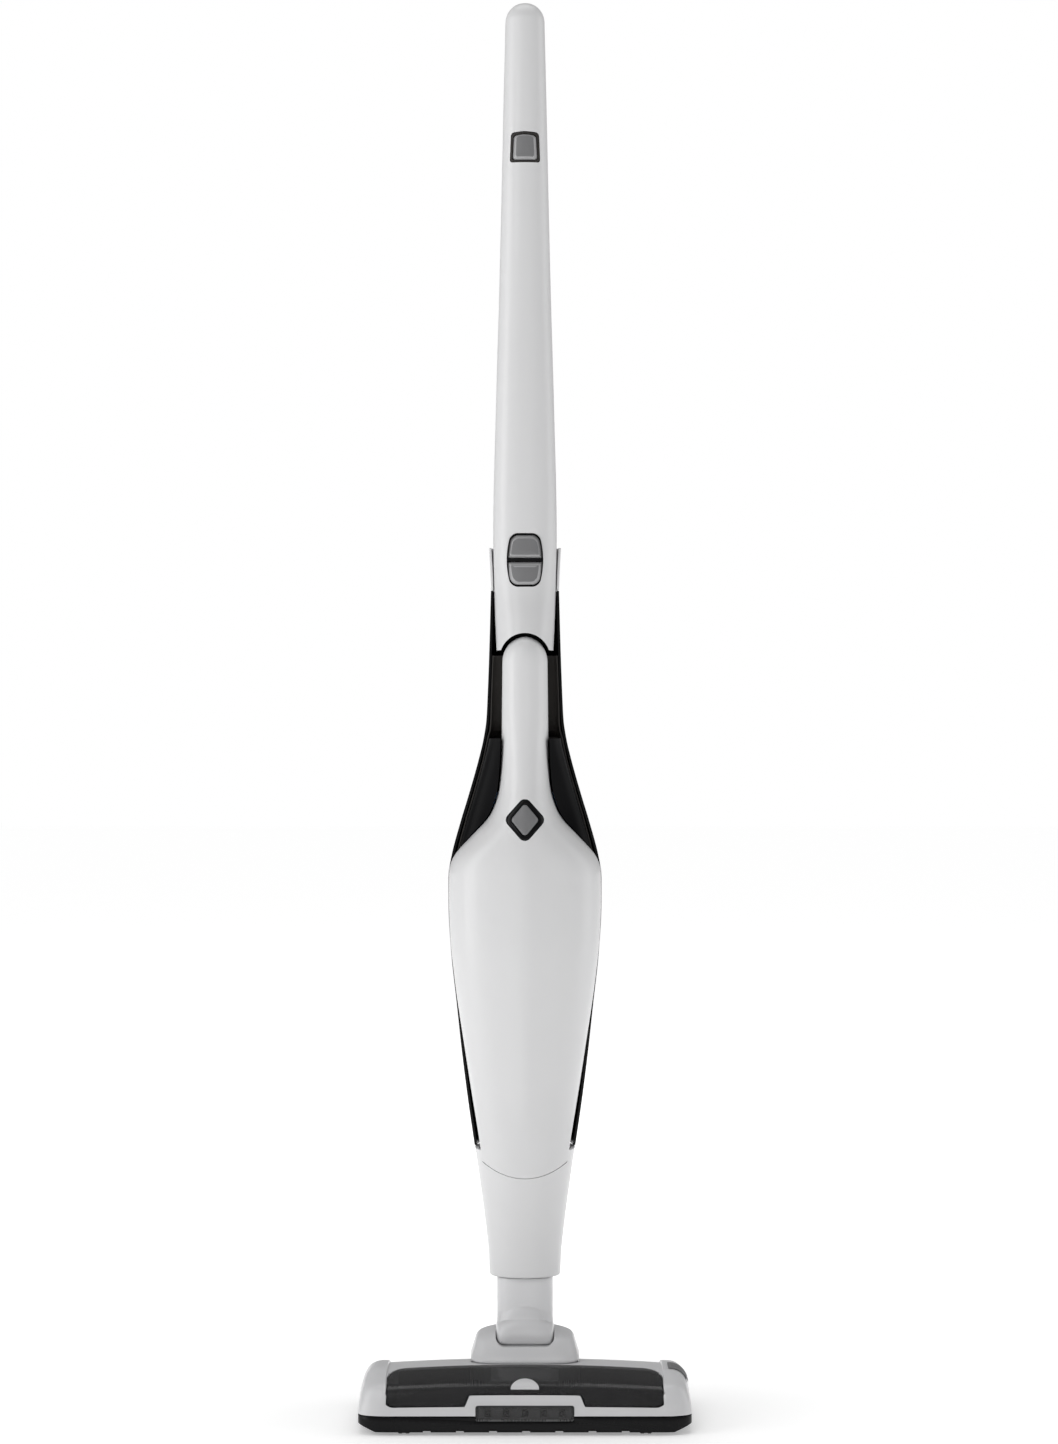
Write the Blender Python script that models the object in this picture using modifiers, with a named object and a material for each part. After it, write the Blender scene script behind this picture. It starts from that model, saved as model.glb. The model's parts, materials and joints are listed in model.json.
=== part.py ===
"""A cordless two-in-one stick vacuum: a floor head, a stick and a hand unit that docks in the stick.

Metres, +Z up, -Y is the front. The origin is on the floor, in the middle of the floor head.
The stick, the hand unit and the upper handle are described about the stick's own axis, STICK_Y behind the origin.
"""
import math

import bmesh
import bpy
from mathutils import Matrix, Vector

# Driving dimensions
HEIGHT = 1.130            # floor to the top of the handle
STICK_Y = 0.012           # the stick's axis stands this far behind the origin
GAP = 0.0004              # between pieces that meet
WALL = 0.0022             # moulded casings

# Floor head
HEAD_HALF_WIDTH = 0.130
HEAD_FRONT = -0.066
HEAD_BASE_TOP = 0.0141    # parting line between the black base and the grey top frame
HEAD_BASE_BOTTOM = 0.0025
BRUSH_Y, BRUSH_Z = -0.036, 0.0195
BRUSH_RADIUS, BRUSH_CORE = 0.0185, 0.0115
MOTOR_Y, MOTOR_Z = 0.022, 0.0235
REAR_WHEEL_X, REAR_WHEEL_Y, REAR_WHEEL_RADIUS = 0.088, 0.051, 0.015
ROLLER_X, ROLLER_Y, ROLLER_RADIUS = 0.094, -0.0585, 0.005
PIVOT_Z = 0.044           # the stick folds back about this height, on the stick's axis
KNUCKLE_RADIUS = 0.0215
KNUCKLE_HALF_WIDTH = 0.0228

# Heights up the stick
SOCKET_BOTTOM, SOCKET_TOP = 0.1120, 0.2143
NOSE_BOTTOM = 0.1934      # lowest point of the curved seam between hand unit and socket
NOSE_CORNER = 0.2049      # height of that seam at its two ends
COLLAR_BOTTOM, COLLAR_TOP = 0.6583, 0.6920
TONGUE_BOTTOM = 0.6100
POWER_BUTTON_Z = 1.0105
TWIN_BUTTON_Z = 0.6815
DIAMOND_Z = 0.4745

# Stick sections: height, half width, depth of the front or rear face from the stick's axis
HANDLE = [
    # z, half width, front, rear, axis
    (0.610, 0.0227, -0.0415, 0.0200, 0.0),
    (0.635, 0.0238, -0.0330, 0.0200, 0.0),
    (0.660, 0.0246, -0.0245, 0.0200, 0.0),
    (0.700, 0.0254, -0.0205, 0.0203, 0.0),
    (0.810, 0.0231, -0.0195, 0.0190, 0.0),
    (0.890, 0.0208, -0.0178, 0.0190, 0.001),
    (0.970, 0.0189, -0.0150, 0.0202, 0.003),
    (1.050, 0.0172, -0.0105, 0.0230, 0.0065),
    (1.092, 0.0162, -0.0072, 0.0248, 0.009),
    (1.114, 0.0157, -0.0051, 0.0256, 0.0104),
]
SPINE = [
    (0.2150, 0.0398, 0.0340),
    (0.2520, 0.0448, 0.0380),
    (0.2900, 0.0496, 0.0420),
    (0.3300, 0.0540, 0.0460),
    (0.3700, 0.0571, 0.0500),
    (0.4100, 0.0587, 0.0520),
    (0.4437, 0.0584, 0.0520),
    (0.4750, 0.0510, 0.0500),
    (0.4910, 0.0461, 0.0480),
    (0.5070, 0.0414, 0.0450),
    (0.5230, 0.0370, 0.0420),
    (0.5390, 0.0332, 0.0390),
    (0.5550, 0.0308, 0.0360),
    (0.5750, 0.0298, 0.0335),
    (0.6104, 0.0285, 0.0300),
    (0.6580, 0.0272, 0.0270),
]
COLLAR = [
    (0.6583, 0.0272, 0.0270),
    (0.6700, 0.0276, 0.0270),
    (0.6920, 0.0288, 0.0280),
]
HAND_FRONT = [
    # z, half width, front face
    (0.185, 0.0310, -0.0400),
    (0.221, 0.0364, -0.0455),
    (0.252, 0.0416, -0.0500),
    (0.300, 0.0490, -0.0565),
    (0.345, 0.0556, -0.0610),
    (0.380, 0.0593, -0.0635),
    (0.412, 0.0606, -0.0640),
    (0.435, 0.0604, -0.0637),
    (0.4413, 0.0589, -0.0632),
    (0.4477, 0.0556, -0.0626),
    (0.4540, 0.0505, -0.0618),
    (0.4604, 0.0447, -0.0608),
    (0.4668, 0.0389, -0.0597),
    (0.4732, 0.0328, -0.0584),
    (0.4796, 0.0280, -0.0568),
    (0.4860, 0.0250, -0.0550),
    (0.4923, 0.0228, -0.0537),
    (0.5000, 0.0210, -0.0518),
    (0.510, 0.0199, -0.0500),
    (0.530, 0.0187, -0.0470),
    (0.560, 0.0183, -0.0450),
    (0.6005, 0.0179, -0.0435),
]
HAND_REAR = [
    (0.185, 0.0295, 0.0200),
    (0.221, 0.0353, 0.0230),
    (0.252, 0.0400, 0.0260),
    (0.300, 0.0457, 0.0300),
    (0.345, 0.0505, 0.0330),
    (0.380, 0.0528, 0.0340),
    (0.412, 0.0538, 0.0340),
    (0.440, 0.0536, 0.0340),
    (0.475, 0.0460, 0.0310),
    (0.491, 0.0411, 0.0290),
    (0.507, 0.0365, 0.0250),
    (0.523, 0.0321, 0.0200),
    (0.533, 0.0280, 0.0172),
    (0.537, 0.0240, 0.0100),
    (0.541, 0.0179, -0.0030),
    (0.560, 0.0179, -0.0060),
    (0.6005, 0.0176, -0.0060),
]
HAND_TIP = 0.6185
HAND_SEAM = [(0.185, -0.0055), (0.470, -0.0055), (0.520, -0.0140), (0.560, -0.0230), (0.620, -0.0240)]
LINER = [
    (0.250, 0.0418, 0.0280),
    (0.300, 0.0471, 0.0320),
    (0.345, 0.0517, 0.0350),
    (0.380, 0.0541, 0.0360),
    (0.412, 0.0552, 0.0360),
    (0.440, 0.0550, 0.0360),
    (0.475, 0.0476, 0.0335),
    (0.491, 0.0428, 0.0315),
    (0.507, 0.0382, 0.0280),
    (0.523, 0.0338, 0.0230),
    (0.541, 0.0300, 0.0210),
    (0.549, 0.0280, 0.0020),
    (0.575, 0.0272, 0.0008),
    (0.606, 0.0260, 0.0000),
]
SPINE_RIM = -0.0040       # front rim of the spine, collar and liner
SOCKET = [
    # z, half width, front, rear
    (0.1120, 0.0284, -0.0238, 0.0228),
    (0.1255, 0.0288, -0.0255, 0.0238),
    (0.1575, 0.0320, -0.0330, 0.0280),
    (0.1893, 0.0362, -0.0406, 0.0318),
    (0.2147, 0.0398, -0.0446, 0.0340),
]
HEAD_PROFILE = [
    # y, z from the front lip over the top to the rear lip; the fourth point is a soft crease
    (-0.0660, 0.0150),
    (-0.0648, 0.0230),
    (-0.0620, 0.0315),
    (-0.0575, 0.0378),
    (-0.0430, 0.0432),
    (-0.0250, 0.0468),
    (0.0000, 0.0460),
    (0.0280, 0.0405),
    (0.0500, 0.0290),
    (0.0560, 0.0150),
]


# ---------------------------------------------------------------- scene and materials
def clear_scene():
    for obj in list(bpy.data.objects):
        bpy.data.objects.remove(obj)


def collection(name):
    made = bpy.data.collections.new(name)
    bpy.context.scene.collection.children.link(made)
    return made


def material(name, colour, roughness, metallic=0.0):
    made = bpy.data.materials.new(name)
    made.use_nodes = True
    shader = made.node_tree.nodes["Principled BSDF"]
    shader.inputs["Base Color"].default_value = (*colour, 1.0)
    shader.inputs["Roughness"].default_value = roughness
    shader.inputs["Metallic"].default_value = metallic
    return made


clear_scene()
PARTS = collection("cordless_stick_vacuum")
CUTTERS = collection("cutters")
FINISH = {
    "white": material("white_gloss", (0.78, 0.78, 0.78), 0.30),
    "light_grey": material("light_grey", (0.60, 0.60, 0.60), 0.35),
    "mid_grey": material("button_grey", (0.25, 0.25, 0.25), 0.45),
    "black": material("black_gloss", (0.012, 0.012, 0.013), 0.22),
    "dark": material("dark_matte", (0.045, 0.042, 0.040), 0.55),
    "smoke": material("smoked_clear", (0.03, 0.03, 0.03), 0.12),
    "rubber": material("black_rubber", (0.02, 0.02, 0.02), 0.80),
    "bristle": material("bristle", (0.10, 0.10, 0.11), 0.75),
    "steel": material("steel", (0.55, 0.55, 0.56), 0.30, 1.0),
    "board": material("circuit_board", (0.02, 0.12, 0.05), 0.45),
    "cell": material("battery_wrap", (0.05, 0.18, 0.35), 0.40),
    "foam": material("filter_foam", (0.62, 0.62, 0.60), 0.90),
}


# ---------------------------------------------------------------- shape tools
def add(name, mesh, finish=None, cutter=False):
    obj = bpy.data.objects.new(name, mesh)
    if cutter:
        CUTTERS.objects.link(obj)
        obj.hide_render = True
        obj.display_type = "WIRE"
    else:
        PARTS.objects.link(obj)
        mesh.materials.append(FINISH[finish])
        mesh.shade_smooth()
        mesh.set_sharp_from_angle(angle=math.radians(35))
    return obj


def from_bmesh(name, shape, finish=None, cutter=False):
    mesh = bpy.data.meshes.new(name)
    shape.to_mesh(mesh)
    shape.free()
    return add(name, mesh, finish, cutter)


def modifier(obj, kind, **settings):
    made = obj.modifiers.new(kind.title(), kind)
    for key, value in settings.items():
        setattr(made, key, value)
    return made


def boolean(obj, operation, *others):
    for other in others:
        modifier(obj, "BOOLEAN", operation=operation, object=other, solver="EXACT")
    return obj


def cut(obj, *cutters):
    return boolean(obj, "DIFFERENCE", *cutters)


def soften(obj, width, segments=1):
    modifier(obj, "BEVEL", width=width, segments=segments, limit_method="ANGLE")
    return obj


def interpolate(table, z):
    """The table's other columns at this height, on smooth curves that don't overshoot."""
    z = min(max(z, table[0][0]), table[-1][0])
    i = next(k for k in range(len(table) - 1) if z <= table[k + 1][0])
    span = table[i + 1][0] - table[i][0]
    t = (z - table[i][0]) / span
    values = []
    for column in range(1, len(table[0])):
        def slope(k):
            if k == 0 or k == len(table) - 1:
                k0 = min(k, len(table) - 2)
                return (table[k0 + 1][column] - table[k0][column]) / (table[k0 + 1][0] - table[k0][0])
            below = (table[k][column] - table[k - 1][column]) / (table[k][0] - table[k - 1][0])
            above = (table[k + 1][column] - table[k][column]) / (table[k + 1][0] - table[k][0])
            return 0.0 if below * above <= 0 else 2 * below * above / (below + above)
        a, b = table[i][column], table[i + 1][column]
        ma, mb = slope(i) * span, slope(i + 1) * span
        values.append(
            a * (2 * t**3 - 3 * t**2 + 1) + ma * (t**3 - 2 * t**2 + t)
            + b * (3 * t**2 - 2 * t**3) + mb * (t**3 - t**2)
        )
    return values


def levels(table, low, high, between=1):
    """The table's own heights from low to high, with some evenly spaced between each two."""
    inner = [row[0] for row in table if low < row[0] < high]
    ends = [low, *inner, high]
    found = []
    for a, b in zip(ends, ends[1:]):
        found += [a + (b - a) * k / (between + 1) for k in range(between + 1)]
    return found + [high]


def half_ring(z, half_width, seam, reach, side, roundness, count):
    """Half of a rounded oval, from +X over the front (side -1) or rear (side 1) to -X."""
    points = []
    for i in range(count):
        turn = math.pi * i / (count - 1)
        c, s = math.cos(turn), max(0.0, math.sin(turn))
        x = math.copysign(half_width * abs(c) ** (2 / roundness), c)
        y = STICK_Y + seam + side * (GAP / 2 + reach * s ** (2 / roundness))
        points.append(Vector((x, y, z)))
    return points


def skin(name, rows, finish=None, cutter=False, ring=False, caps=False, flip=False):
    """A surface through rows of points. A row of one point closes it to a pole."""
    shape = bmesh.new()
    grid = [[shape.verts.new(point) for point in row] for row in rows]
    for lower, upper in zip(grid, grid[1:]):
        count = max(len(lower), len(upper))
        for j in range(count if ring else count - 1):
            k = (j + 1) % count
            corners = [lower[j], lower[k], upper[k], upper[j]] if len(lower) == len(upper) else (
                [lower[j], lower[k], upper[0]] if len(upper) == 1 else [lower[0], upper[k], upper[j]])
            shape.faces.new(corners[::-1] if flip else corners)
    if caps:
        for row in (grid[0], grid[-1]):
            if len(row) > 1:
                shape.faces.new(row)
        bmesh.ops.recalc_face_normals(shape, faces=shape.faces)
    return from_bmesh(name, shape, finish, cutter)


def shell(name, rows, side, finish, wall=WALL):
    """A moulded casing: an open half shell whose wall grows inwards."""
    obj = skin(name, rows, finish, flip=side < 0)
    modifier(obj, "SOLIDIFY", thickness=wall, offset=-1.0)
    return obj


def full_ring(z, half_width, front, rear, roundness, count, grow=0.0):
    """A whole rounded oval with its own front and rear depth; grow is negative to step inside it."""
    points = []
    middle = (front + rear) / 2
    for i in range(count):
        turn = 2 * math.pi * i / count
        c, s = math.cos(turn), math.sin(turn)
        x = math.copysign((half_width + grow) * abs(c) ** (2 / roundness), c)
        y = math.copysign(((rear - front) / 2 + grow) * abs(s) ** (2 / roundness), s)
        points.append(Vector((x, STICK_Y + middle + y, z)))
    return points


AXES = {
    "X": Matrix(((0, 0, 1), (1, 0, 0), (0, 1, 0))).to_4x4(),
    "Y": Matrix(((1, 0, 0), (0, 0, -1), (0, 1, 0))).to_4x4(),
    "Z": Matrix.Identity(4),
}


def rounded(corners, radius, steps=3):
    """A polygon with each corner turned into an arc."""
    outline = []
    for i, corner in enumerate(corners):
        here = Vector(corner)
        before, after = Vector(corners[i - 1]), Vector(corners[(i + 1) % len(corners)])
        to_before, to_after = (before - here).normalized(), (after - here).normalized()
        half = to_before.angle(to_after) / 2
        reach = radius / math.tan(half)
        centre = here + (to_before + to_after).normalized() * radius / math.sin(half)
        start = here + to_before * reach - centre
        end = here + to_after * reach - centre
        sweep = math.atan2(start.cross(end), start.dot(end))
        for k in range(steps + 1):
            outline.append(tuple(centre + Matrix.Rotation(sweep * k / steps, 2) @ start))
    return outline


def rectangle(width, height, x=0.0, y=0.0):
    return [(x - width / 2, y - height / 2), (x + width / 2, y - height / 2),
            (x + width / 2, y + height / 2), (x - width / 2, y + height / 2)]


def plate(name, outlines, low, high, axis, finish=None, cutter=False):
    """Flat outlines extruded from low to high along an axis; the second outline is a hole.

    Outlines are (x, y) for axis Z, (x, z) for axis Y and (y, z) for axis X.
    """
    flat = bpy.data.curves.new(name, "CURVE")
    flat.dimensions = "2D"
    flat.fill_mode = "BOTH"
    flat.extrude = (high - low) / 2
    for outline in outlines:
        spline = flat.splines.new("POLY")
        spline.points.add(len(outline) - 1)
        for point, (a, b) in zip(spline.points, outline):
            point.co = (a, b, 0.0, 1.0)
        spline.use_cyclic_u = True
    guide = bpy.data.objects.new(name + "_outline", flat)
    PARTS.objects.link(guide)
    bpy.context.view_layer.update()
    mesh = bpy.data.meshes.new_from_object(guide.evaluated_get(bpy.context.evaluated_depsgraph_get()))
    bpy.data.objects.remove(guide)
    shape = bmesh.new()
    shape.from_mesh(mesh)
    bmesh.ops.remove_doubles(shape, verts=shape.verts, dist=1e-6)
    middle = (low + high) / 2 * (-1 if axis == "Y" else 1)
    shape.transform(AXES[axis] @ Matrix.Translation((0, 0, middle)))
    bmesh.ops.recalc_face_normals(shape, faces=shape.faces)
    return from_bmesh(name, shape, finish, cutter)


def block(name, low, high, finish=None, cutter=False):
    """A box between two corners."""
    shape = bmesh.new()
    bmesh.ops.create_cube(shape, size=1.0)
    size = Vector(high) - Vector(low)
    bmesh.ops.scale(shape, vec=size, verts=shape.verts)
    bmesh.ops.translate(shape, vec=(Vector(low) + Vector(high)) / 2, verts=shape.verts)
    return from_bmesh(name, shape, finish, cutter)


def cylinder(name, radius, low, high, axis, centre, finish=None, cutter=False, sides=24, top_radius=None):
    """A round bar from low to high along an axis; centre is its place in the other two directions."""
    shape = bmesh.new()
    bmesh.ops.create_cone(
        shape, cap_ends=True, segments=sides, radius1=radius,
        radius2=radius if top_radius is None else top_radius, depth=high - low)
    along = (low + high) / 2
    place = {"X": (along, *centre), "Y": (centre[0], along, centre[1]), "Z": (*centre, along)}[axis]
    turn = Matrix.Rotation(math.pi / 2, 4, "X") if axis == "Y" else AXES[axis]
    shape.transform(Matrix.Translation(place) @ turn)
    return from_bmesh(name, shape, finish, cutter)


def tube(name, outer, inner, low, high, axis, centre, finish, sides=24):
    bar = cylinder(name, outer, low, high, axis, centre, finish, sides=sides)
    bore = cylinder(name + "_bore", inner, low - 0.001, high + 0.001, axis, centre, cutter=True, sides=sides)
    return cut(bar, bore)


def turned(name, profile, axis, centre, along, finish, sides=24, closed=False):
    """A turned piece: profile points are (radius, height), down the outer side from top to bottom."""
    mesh = bpy.data.meshes.new(name)
    points = [(r, 0.0, h) for r, h in profile]
    edges = [(i, i + 1) for i in range(len(points) - 1)]
    mesh.from_pydata(points, edges + [(len(points) - 1, 0)] * closed, [])
    obj = add(name, mesh, finish)
    modifier(obj, "SCREW", steps=sides, render_steps=sides, use_merge_vertices=True, merge_threshold=1e-5)
    place = {"X": (along, *centre), "Y": (centre[0], along, centre[1]), "Z": (*centre, along)}[axis]
    turn = Matrix.Rotation(math.pi / 2, 4, "X") if axis == "Y" else AXES[axis]
    obj.matrix_world = Matrix.Translation(place) @ turn
    return obj


# ---------------------------------------------------------------- upper handle
def handle_rows(side, low, count=13):
    rows = []
    for z in levels(HANDLE, low, HANDLE[-1][0], between=0 if low > 0.62 else 1):
        half_width, front, rear, axis = interpolate(HANDLE, z)
        reach = axis - front if side < 0 else rear - axis
        rows.append(half_ring(z, half_width, axis + 0.0001 * side, reach, side, 2.5, count))
    top_width, front, rear, axis = interpolate(HANDLE, HANDLE[-1][0])
    top_reach = axis - front if side < 0 else rear - axis
    dome = HEIGHT - HANDLE[-1][0]
    for turn in (25, 50, 72):
        shrink = math.cos(math.radians(turn))
        z = HANDLE[-1][0] + dome * math.sin(math.radians(turn))
        rows.append(half_ring(z, top_width * shrink, axis + 0.0001 * side, top_reach * shrink, side, 2.5, count))
    rows.append([Vector((0.0, STICK_Y + axis + side * GAP / 2, HEIGHT))])
    return rows


def power_button_outline(grow=0.0):
    low, high = -0.0098 - grow, 0.0105 + grow
    return rounded([(-0.0098 - grow, POWER_BUTTON_Z + low), (0.0098 + grow, POWER_BUTTON_Z + low),
                    (0.0090 + grow, POWER_BUTTON_Z + high), (-0.0090 - grow, POWER_BUTTON_Z + high)], 0.0022)


def twin_button_outline(low, high, grow=0.0):
    """A slice of the barrel-shaped pad that the two buttons share."""
    points = []
    for k in range(5):
        h = low - grow + (high - low + 2 * grow) * k / 4
        bulge = 0.0135 - 0.0014 * (h / 0.0205) ** 2
        points.append((bulge + grow, TWIN_BUTTON_Z + h))
    return points + [(-x, z) for x, z in reversed(points)]


def diamond_outline(grow=0.0):
    reach_x, reach_z = 0.0128 + grow * 1.25, 0.0150 + grow * 1.25
    corners = [(reach_x, DIAMOND_Z), (0.0, DIAMOND_Z + reach_z), (-reach_x, DIAMOND_Z), (0.0, DIAMOND_Z - reach_z)]
    return rounded(corners, 0.0035 + grow * 0.6, steps=4)


def arch_outline(grow):
    """The opening at the foot of the handle that the hand unit's grip fits under."""
    radius = 0.0186 + grow
    centre_z = HAND_TIP - 0.0180
    top = [(radius * math.cos(math.radians(a)), centre_z + 0.0006 + radius * math.sin(math.radians(a)))
           for a in range(0, 181, 15)]
    return [(radius, 0.56), *top, (-radius, 0.56)]


def make_upper_handle():
    arch = plate("arch_cut", [arch_outline(0.0018)], -0.06, 0.08, "Y", cutter=True)
    front = shell("handle_front_shell", handle_rows(-1, TONGUE_BOTTOM), -1, "white")
    power_hole = plate("power_hole", [power_button_outline(0.0018 + GAP)], -0.05, STICK_Y - 0.003, "Y", cutter=True)
    twin_hole = plate("twin_hole", [twin_button_outline(-0.0205, 0.0205, 0.0010 + GAP)],
                      -0.05, STICK_Y - 0.006, "Y", cutter=True)
    cut(front, arch, power_hole, twin_hole)
    rear = shell("handle_rear_shell", handle_rows(1, 0.640), 1, "white")

    face = STICK_Y + interpolate(HANDLE, POWER_BUTTON_Z)[1]
    plate("power_button_bezel", [power_button_outline(0.0018), power_button_outline(GAP)],
          face - 0.0003, face + 0.0040, "Y", "dark")
    power = plate("power_button", [power_button_outline()], face - 0.0006, face + 0.0050, "Y", "mid_grey")
    soften(power, 0.0006)
    board = block("switch_board", (-0.009, STICK_Y + 0.0050, POWER_BUTTON_Z - 0.018),
                  (0.009, STICK_Y + 0.0066, POWER_BUTTON_Z + 0.018), "board")
    boolean(board, "UNION", block("power_microswitch", (-0.003, face + 0.0095, POWER_BUTTON_Z - 0.004),
                                  (0.003, STICK_Y + 0.0060, POWER_BUTTON_Z + 0.004), cutter=True))

    pad = STICK_Y + interpolate(HANDLE, TWIN_BUTTON_Z)[1]
    frame = plate("twin_button_frame", [twin_button_outline(-0.0205, 0.0205, 0.0010)],
                  pad - 0.0004, pad + 0.0060, "Y", "black")
    upper_hole = plate("upper_hole", [twin_button_outline(0.0012, 0.0200, GAP / 2)], -0.05, 0.05, "Y", cutter=True)
    lower_hole = plate("lower_hole", [twin_button_outline(-0.0200, -0.0012, GAP / 2)], -0.05, 0.05, "Y", cutter=True)
    cut(frame, upper_hole, lower_hole)
    release = plate("handle_release_button", [twin_button_outline(0.0017, 0.0195, -GAP / 2)],
                    pad - 0.0010, pad + 0.0080, "Y", "mid_grey")
    dock = plate("hand_unit_release_button", [twin_button_outline(-0.0195, -0.0017, -GAP / 2)],
                 pad - 0.0010, pad + 0.0080, "Y", "mid_grey")
    soften(release, 0.0006)
    soften(dock, 0.0006)
    catch = block("hand_unit_catch", (-0.006, pad + 0.0084, 0.6245), (0.006, pad + 0.0110, 0.6760), "dark")
    hook = block("catch_hook", (-0.006, pad - 0.0060, 0.6245), (0.006, pad + 0.0100, 0.6275), cutter=True)
    boolean(catch, "UNION", hook)
    for number, z in enumerate((0.905,), start=1):
        rear_face = STICK_Y + interpolate(HANDLE, z)[2]
        hole = cylinder(f"handle_screw_hole_{number}", 0.0034, rear_face - 0.004, rear_face + 0.01, "Y",
                        (0.0, z), cutter=True, sides=16)
        cut(rear, hole)
        screw = cylinder(f"handle_screw_{number}", 0.0029, rear_face - 0.0042, rear_face - 0.0008, "Y",
                         (0.0, z), "steel", sides=16)
        slot = block(f"handle_screw_slot_{number}", (-0.002, rear_face - 0.0016, z - 0.0004),
                     (0.002, rear_face + 0.001, z + 0.0004), cutter=True)
        cut(screw, slot)


# ---------------------------------------------------------------- stick body
def rear_rows(table, low, high, seam, roundness=2.4, count=15, between=0):
    rows = []
    for z in levels(table, low, high, between):
        half_width, rear = interpolate(table, z)
        rows.append(half_ring(z, half_width, seam, rear - seam, 1, roundness, count))
    return rows


def nose_outline(grow):
    """Front outline of the hand unit's nose: straight flanks down to an arc."""
    corner_x = 0.0336 + grow
    arc = []
    for k in range(13):
        x = corner_x * (1 - k / 6)
        arc.append((x, NOSE_BOTTOM - grow + (NOSE_CORNER - NOSE_BOTTOM) * (x / corner_x) ** 2))
    return [(0.0370 + grow, 0.240), *arc, (-0.0370 - grow, 0.240)]


def nose_strip(grow, thickness):
    """The curved floor of the nose as a strip of even thickness, in front view."""
    lower = nose_outline(grow)[1:-1]
    upper = [(x, z + thickness) for x, z in reversed(lower)]
    return lower + upper


def make_stick_body():
    spine = shell("spine_rear_shell", rear_rows(SPINE, SPINE[0][0], 0.6578, SPINE_RIM), 1, "black", wall=0.0020)
    shell("cradle_liner", rear_rows(LINER, LINER[0][0], LINER[-1][0], SPINE_RIM + 0.0002, count=13),
          1, "dark", wall=0.0010)
    shell("stick_collar", rear_rows(COLLAR, COLLAR[0][0], COLLAR_TOP, SPINE_RIM), 1, "light_grey", wall=0.0020)

    jack_z = 0.300
    jack_face = STICK_Y + interpolate(SPINE, jack_z)[1]
    jack_hole = cylinder("jack_hole", 0.0072, jack_face - 0.012, jack_face + 0.01, "Y", (0.0, jack_z), cutter=True)
    cut(spine, jack_hole)
    jack = cylinder("charging_jack", 0.0068, jack_face - 0.0020, jack_face - 0.0004, "Y", (0.0, jack_z), "dark")
    cut(jack, cylinder("jack_bore", 0.0028, jack_face - 0.01, jack_face + 0.01, "Y", (0.0, jack_z), cutter=True))
    for number, (x, z) in enumerate(((0.0, 0.385), (0.0, 0.630)), start=1):
        face = STICK_Y + interpolate(SPINE, z)[1]
        hole = cylinder(f"spine_screw_hole_{number}", 0.0036, face - 0.004, face + 0.01, "Y", (x, z),
                        cutter=True, sides=16)
        cut(spine, hole)
        screw = cylinder(f"spine_screw_{number}", 0.0031, face - 0.0040, face - 0.0008, "Y", (x, z), "steel", sides=16)
        slot = block(f"spine_screw_slot_{number}", (-0.0022, face - 0.0016, z - 0.0004),
                     (0.0022, face + 0.001, z + 0.0004), cutter=True)
        cut(screw, slot)

    socket_rows = [full_ring(z, *interpolate(SOCKET, z), 2.3, 28) for z in levels(SOCKET, SOCKET_BOTTOM, SOCKET_TOP)]
    socket = skin("socket_shell", socket_rows, "white", ring=True)
    modifier(socket, "SOLIDIFY", thickness=0.0025, offset=-1.0)
    cut(socket, plate("nose_cut", [nose_outline(0.0)], -0.08, STICK_Y + 0.0245, "Y", cutter=True))

    inside = [full_ring(z, *interpolate(SOCKET, z), 2.3, 28, grow=-0.0030)
              for z in levels(SOCKET, 0.1780, SOCKET_TOP, between=0)]
    seat = skin("dock_seat", inside, "dark", ring=True, caps=True)
    seat_band = plate("seat_band", [nose_strip(0.0025, 0.0018)], -0.08, STICK_Y + 0.0240, "Y", cutter=True)
    boolean(seat, "INTERSECT", seat_band)
    duct_centre = (0.0, STICK_Y - 0.006)
    cut(seat, cylinder("seat_hole", 0.0156, 0.16, 0.24, "Z", duct_centre, cutter=True))
    tube("suction_duct", 0.0172, 0.0150, 0.1345, 0.1888, "Z", duct_centre, "dark")
    tube("dock_gasket", 0.0152, 0.0132, 0.1892, 0.1926, "Z", duct_centre, "rubber")
    ring_rows = [full_ring(z, *interpolate(SOCKET, z), 2.3, 28, grow=-0.0029) for z in (0.1135, 0.1165)]
    ring = skin("swivel_ring", ring_rows, "dark", ring=True, caps=True)
    cut(ring, cylinder("swivel_ring_bore", 0.0194, 0.10, 0.12, "Z", (0.0, STICK_Y), cutter=True))


# ---------------------------------------------------------------- hand unit
def smooth_step(value, start, end):
    share = min(1.0, max(0.0, (value - start) / (end - start)))
    return share * share * (3 - 2 * share)


def cover_ring(z, half_width, seam, reach, count):
    """The front cover's section: an oval at the nose and grip, and a broad flat arch between them."""
    broad = smooth_step(z, 0.225, 0.262) * smooth_step(-z, -0.475, -0.430)
    across, deep = 2.3 + 2.2 * broad, 2.3 + 0.7 * broad
    points = []
    for i in range(count):
        c = math.cos(math.pi * i / (count - 1))
        c = math.copysign(abs(c) ** 0.8, c)
        share = max(0.0, 1 - min(1.0, abs(c)) ** across) ** (1 / deep)
        points.append(Vector((half_width * c, STICK_Y + seam - GAP / 2 - reach * share, z)))
    return points


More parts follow.
